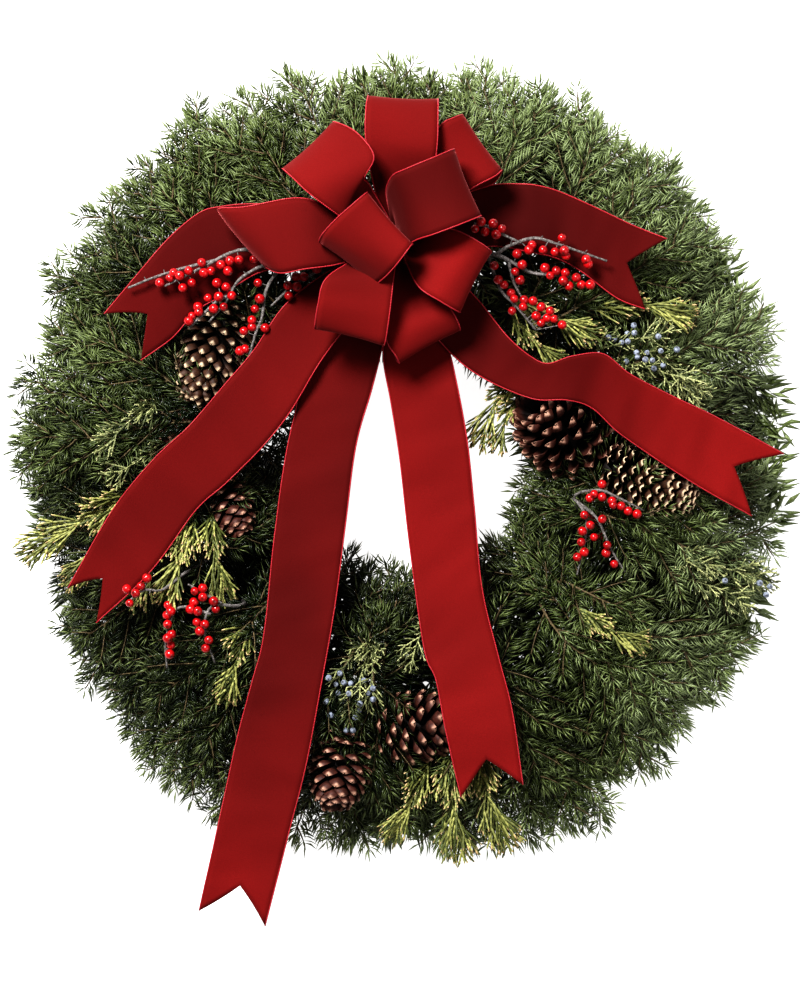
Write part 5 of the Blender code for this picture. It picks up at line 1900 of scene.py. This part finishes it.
def berry_sprays(palette: Palette) -> list[BerrySpray]:
    """The six winterberry sprays: name, stems and berries.

    Args:
        palette: the materials.

    Returns:
        The sprays.
    """
    return [
        BerrySpray("winterberry_upper_left", (
            ((322, 258, 101), (290, 262, 104), (251, 250, 108), (230, 253, 110), (207, 265, 110),
             (165, 286, 107)),
            ((222, 259, 109), (196, 265, 108), (177, 270, 107), (150, 279, 105), (128, 288, 103)),
            ((286, 262, 105), (265, 265, 106), (245, 275, 106), (235, 285, 105), (227, 300, 104),
             (209, 322, 101)),
            ((284, 262, 105), (267, 288, 104), (262, 317, 102), (256, 332, 100), (245, 372, 96)),
            ((228, 296, 105), (215, 303, 104), (189, 328, 102)),
        ), ((202, 263), (174, 273), (170, 278), (180, 276), (189, 271), (160, 283), (183, 288), (192, 283),
            (204, 273), (211, 271), (221, 265), (230, 261), (239, 260), (254, 259), (228, 271), (217, 283),
            (226, 287), (208, 298), (219, 297), (232, 296), (198, 307), (199, 312), (214, 309), (224, 307),
            (192, 316), (189, 321), (258, 283), (260, 299), (255, 309), (252, 320), (252, 327), (244, 331),
            (265, 328), (245, 349), (240, 351)), palette, None, 2.1),
        BerrySpray("winterberry_left_bow", (
            ((318, 270, 101.5), (302, 279, 101.5), (288, 290, 102), (271, 306, 101)),
        ), ((296, 277), (304, 277), (288, 286), (297, 287), (289, 296), (317, 269)), palette),
        BerrySpray("winterberry_upper_right", (
            ((464, 262, 100.6), (492, 254, 104.4), (519, 266, 109), (533, 273, 109), (567, 277, 108),
             (590, 285, 107)),
            ((496, 255, 106), (509, 246, 109), (533, 238, 111), (551, 242, 111), (572, 249, 110),
             (607, 261, 107)),
            ((474, 224, 112), (488, 227, 112), (506, 236, 112), (522, 243, 110)),
            ((488, 256, 105), (501, 290, 105), (516, 306, 103), (536, 330, 97)),
            ((509, 262, 107), (513, 280, 106), (520, 295, 103)),
        ), ((481, 222), (493, 224), (502, 229), (475, 229), (485, 232), (496, 235), (517, 254), (532, 245),
            (529, 250), (543, 250), (562, 238), (555, 252), (564, 251), (566, 256), (586, 260), (588, 264),
            (545, 268), (556, 271), (565, 273), (550, 276), (522, 265), (515, 272), (520, 280), (563, 281),
            (576, 278), (581, 285), (569, 286), (590, 285), (494, 266), (498, 280), (504, 285), (511, 293),
            (514, 299), (524, 300), (533, 301), (512, 311), (523, 307), (541, 307), (550, 311), (536, 316),
            (547, 318), (554, 319), (541, 323), (562, 325)), palette, None, 2.1),
        BerrySpray("winterberry_right", (
            ((574, 500, 66), (598, 490, 84), (617, 497, 86), (643, 510, 84)),
            ((575, 500, 68), (596, 517, 86), (604, 533, 84), (612, 551, 82), (625, 572, 78)),
            ((577, 501, 70), (586, 517, 86), (585, 540, 84), (577, 575, 78)),
        ), ((602, 484), (594, 494), (590, 498), (602, 497), (612, 501), (613, 505), (621, 506), (628, 511),
            (637, 514), (584, 515), (591, 517), (602, 519), (590, 525), (596, 525), (582, 531), (594, 537),
            (602, 536), (581, 542), (584, 552), (577, 557), (607, 545), (606, 553), (614, 564)),
            palette, (596, 540)),
        BerrySpray("winterberry_lower_left", (
            ((247, 602, 52), (236, 606, 80), (212, 606, 88), (204, 630, 87), (215, 663, 81)),
            ((222, 604, 87), (205, 594, 90), (188, 584, 88)),
            ((211, 614, 88), (178, 608, 88), (166, 640, 86), (167, 668, 80)),
        ), ((203, 588), (195, 591), (203, 597), (214, 601), (216, 609), (194, 602), (191, 609), (198, 611),
            (197, 622), (205, 624), (200, 631), (209, 640), (206, 648), (167, 615), (171, 611), (168, 605),
            (168, 624), (172, 634), (168, 638), (171, 645), (170, 654)), palette, (247, 598)),
        BerrySpray("winterberry_far_left", (
            ((186, 572, 80), (162, 590, 92), (144, 590, 99), (125, 604, 99)),
        ), ((127, 589), (136, 593), (141, 586), (147, 578), (130, 603)), palette, (214, 556)),
    ]


def tails(palette: Palette) -> list[RibbonTail]:
    """The six tails, each from the knot to its notched end: name, notch, ripple and stations.

    Args:
        palette: the materials.

    Returns:
        The tails.
    """
    rows = (
        ("tail_upper_left", 30, 1.6, (
            (392, 236, 98, 386, 246, 98), (330, 212, 99, 330, 262, 97), (262, 204, 98, 268, 270, 95),
            (218, 207, 97, 240, 283, 95), (196, 215, 98, 222, 296, 93), (166, 241, 98, 196, 311, 90),
            (136, 276, 96, 172, 338, 88), (104, 314, 92, 141, 360, 84))),
        ("tail_upper_right", 27, 1.6, (
            (408, 232, 98, 416, 242, 98), (446, 202, 98, 452, 250, 98), (487, 186, 96, 492, 246, 103),
            (520, 184, 97, 524, 251, 103), (552, 189, 99, 556, 258, 97), (590, 205, 98, 582, 272, 95),
            (630, 224, 97, 617, 298, 95), (667, 239, 97, 645, 309, 95))),
        ("tail_right", 34, 1.2, (
            (420, 248, 99, 404, 258, 99), (450, 272, 101, 420, 310, 100), (478, 300, 104, 444, 346, 99),
            (510, 339, 106, 480, 376, 97), (543, 363, 110, 530, 398, 100), (572, 356, 116, 566, 400, 108),
            (603, 354, 116, 592, 408, 102), (630, 374, 110, 618, 432, 100), (668, 394, 104, 652, 456, 96),
            (716, 417, 99, 700, 487, 93), (784, 454, 94, 752, 516, 88))),
        ("tail_down_right", 28, 0.9, (
            (408, 250, 98, 392, 252, 98), (428, 300, 97, 386, 302, 97), (447, 345, 95, 383, 355, 93),
            (456, 380, 92, 391, 402, 90), (467, 440, 90, 400, 460, 89), (474, 505, 88, 409, 540, 87),
            (482, 588, 89, 424, 648, 91), (498, 655, 93, 436, 680, 96), (512, 710, 98, 446, 732, 99),
            (523, 785, 97, 461, 797, 96))),
        ("tail_down_left", 30, 0.9, (
            (398, 252, 96, 388, 250, 96), (392, 300, 95, 344, 296, 95), (381, 352, 90, 309, 350, 88),
            (371, 392, 88, 295, 413, 85), (356, 445, 87, 285, 460, 84), (346, 520, 87, 274, 540, 85),
            (335, 605, 88, 264, 634, 87), (322, 680, 91, 252, 682, 89), (306, 765, 90, 237, 739, 88),
            (290, 828, 88, 216, 835, 86), (265, 926, 82, 199, 911, 78))),
        ("tail_lower_left", 30, 1.2, (
            (392, 256, 99.6, 386, 246, 99.6), (352, 318, 100, 334, 268, 100), (320, 362, 98, 286, 304, 100),
            (290, 412, 94, 254, 350, 99), (262, 447, 92, 226, 383, 99), (226, 483, 90, 190, 425, 98),
            (196, 510, 89, 153, 460, 98), (150, 572, 88, 112, 511, 95), (96, 623, 84, 68, 588, 88))),
    )
    # How dark each tail is painted from knot to end: partly the pile, partly painted shade near the knot and
    # by the cones.
    naps_and_shades = (
        (0.70, 0.80, 0.70), (0.80, 0.90, 0.70), (0.60, 0.70, 0.72, 0.20, 0.05),
        (0.45, 0.40, 0.36, 0.34, 0.22), (0.60, 0.68, 0.68, 0.60, 0.34), (0.50, 0.55, 0.60, 0.55, 0.50))
    ribbons = [Ribbon(name, stations, 90, notch=notch, ripple=ripple, pleat=3.0, seed=i, nap=naps_and_shades[i])
               for i, (name, notch, ripple, stations) in enumerate(rows)]
    return [RibbonTail(ribbon, palette) for ribbon in ribbons]


def loops() -> tuple[Ribbon, ...]:
    """The bow's nine loops: out over the top, round the fold and back under.

    Returns:
        The loops from the top one round to the middle one.
    """
    rows = (
        ((394, 234, 120, 410, 234, 120), (376, 194, 140, 430, 192, 138), (366, 141, 156, 437, 146, 154),
         (366, 108, 154, 438, 112, 152), (368, 96, 142, 438, 99, 140), (368, 104, 128, 438, 108, 126),
         (372, 150, 118, 432, 152, 117), (392, 226, 110, 410, 226, 110)),
        ((388, 242, 124, 396, 230, 126), (352, 224, 148, 370, 186, 152), (341, 217, 160, 364, 178, 168),
         (309, 193, 166, 374, 156, 174), (292, 177, 160, 356, 132, 168), (283, 169, 144, 334, 122, 150),
         (288, 174, 130, 340, 130, 134), (326, 204, 118, 362, 172, 122), (388, 236, 112, 396, 228, 112)),
        ((398, 228, 116, 410, 238, 116), (416, 168, 132, 452, 202, 130), (438, 128, 144, 474, 187, 140),
         (455, 117, 142, 495, 176, 139), (463, 115, 132, 502, 170, 128), (456, 122, 120, 492, 184, 118),
         (426, 160, 112, 462, 196, 112), (400, 226, 108, 412, 234, 108)),
        ((394, 236, 126, 404, 246, 126), (386, 196, 150, 404, 248, 146), (391, 177, 172, 416, 240, 168),
         (408, 168, 184, 434, 234, 180), (432, 158, 187, 458, 225, 184), (451, 150, 180, 478, 217, 177),
         (454, 150, 168, 480, 216, 164), (446, 160, 152, 470, 220, 150), (400, 222, 128, 410, 240, 126)),
        ((388, 234, 122, 396, 246, 122), (346, 236, 132, 382, 272, 130), (322, 243, 150, 374, 285, 146),
         (321, 236, 170, 384, 278, 166), (336, 219, 184, 396, 265, 180), (354, 203, 188, 406, 252, 185),
         (366, 193, 184, 412, 244, 181), (367, 194, 172, 412, 245, 170), (360, 204, 154, 402, 252, 152),
         (384, 228, 128, 400, 242, 128)),
        ((386, 232, 122, 384, 248, 122), (350, 212, 140, 358, 258, 138), (322, 203, 148, 334, 265, 144),
         (294, 198, 150, 304, 269, 146), (244, 207, 146, 282, 273, 142), (219, 208, 132, 267, 268, 128),
         (228, 212, 120, 272, 268, 118), (300, 214, 114, 314, 262, 113), (384, 232, 110, 382, 246, 110)),
        ((398, 250, 124, 384, 246, 124), (396, 262, 144, 350, 262, 144), (394, 274, 156, 325, 280, 158),
         (390, 310, 156, 318, 304, 158), (386, 338, 148, 315, 324, 148), (384, 345, 138, 315, 329, 138),
         (386, 336, 124, 320, 320, 124), (396, 280, 116, 350, 276, 116), (400, 248, 111, 390, 246, 111)),
        ((412, 250, 118, 398, 252, 118), (434, 286, 130, 386, 300, 130), (450, 308, 136, 386, 338, 134),
         (458, 322, 132, 396, 356, 130), (460, 330, 123, 400, 364, 121), (455, 322, 114, 394, 352, 113),
         (430, 286, 108, 390, 300, 108), (410, 248, 106, 398, 250, 106)),
        ((406, 236, 124, 402, 252, 122), (432, 226, 146, 408, 268, 142), (455, 230, 158, 420, 288, 154),
         (474, 239, 161, 440, 301, 157), (489, 249, 154, 457, 311, 148), (491, 253, 142, 461, 312, 138),
         (484, 254, 128, 454, 306, 126), (444, 244, 116, 424, 280, 114), (408, 238, 110, 402, 250, 110)),
    )
    # How dark each loop's middle is painted; both ends at the knot take painted shade.
    naps_and_shades = (0.42, 0.40, 0.45, 0.65, 0.40, 0.55, 0.40, 0.40, 0.26)
    return tuple(Ribbon(f"loop_{i + 1}", stations, 60, crown=1.6, ripple=0.7, pleat=2.6,
                        pleat_ends=(True, True), seed=20 + i, nap=(0.8, naps_and_shades[i], naps_and_shades[i], 0.8))
                 for i, stations in enumerate(rows))


def main() -> None:
    """Build the wreath and its setting in order."""
    logging.basicConfig(level=logging.INFO, format="%(message)s")
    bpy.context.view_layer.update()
    palette = Palette()
    press = Press()
    for ribbon in (*(tail.ribbon for tail in tails(palette)), *loops()):
        press.cover(ribbon.sheet()[0])
    RingFrame(palette).build()
    for index in range(CLAMPS):
        FirBundle(index, palette, press).build()
    for sprig in sprigs(palette, press):
        sprig.build()
    for cone in cones(palette):
        cone.build()
    for spray in berry_sprays(palette):
        spray.build()
    for tail in tails(palette):
        tail.build()
    Bow(loops(), palette).build()
    Studio().build()
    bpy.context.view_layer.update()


if __name__ == "__main__":
    main()
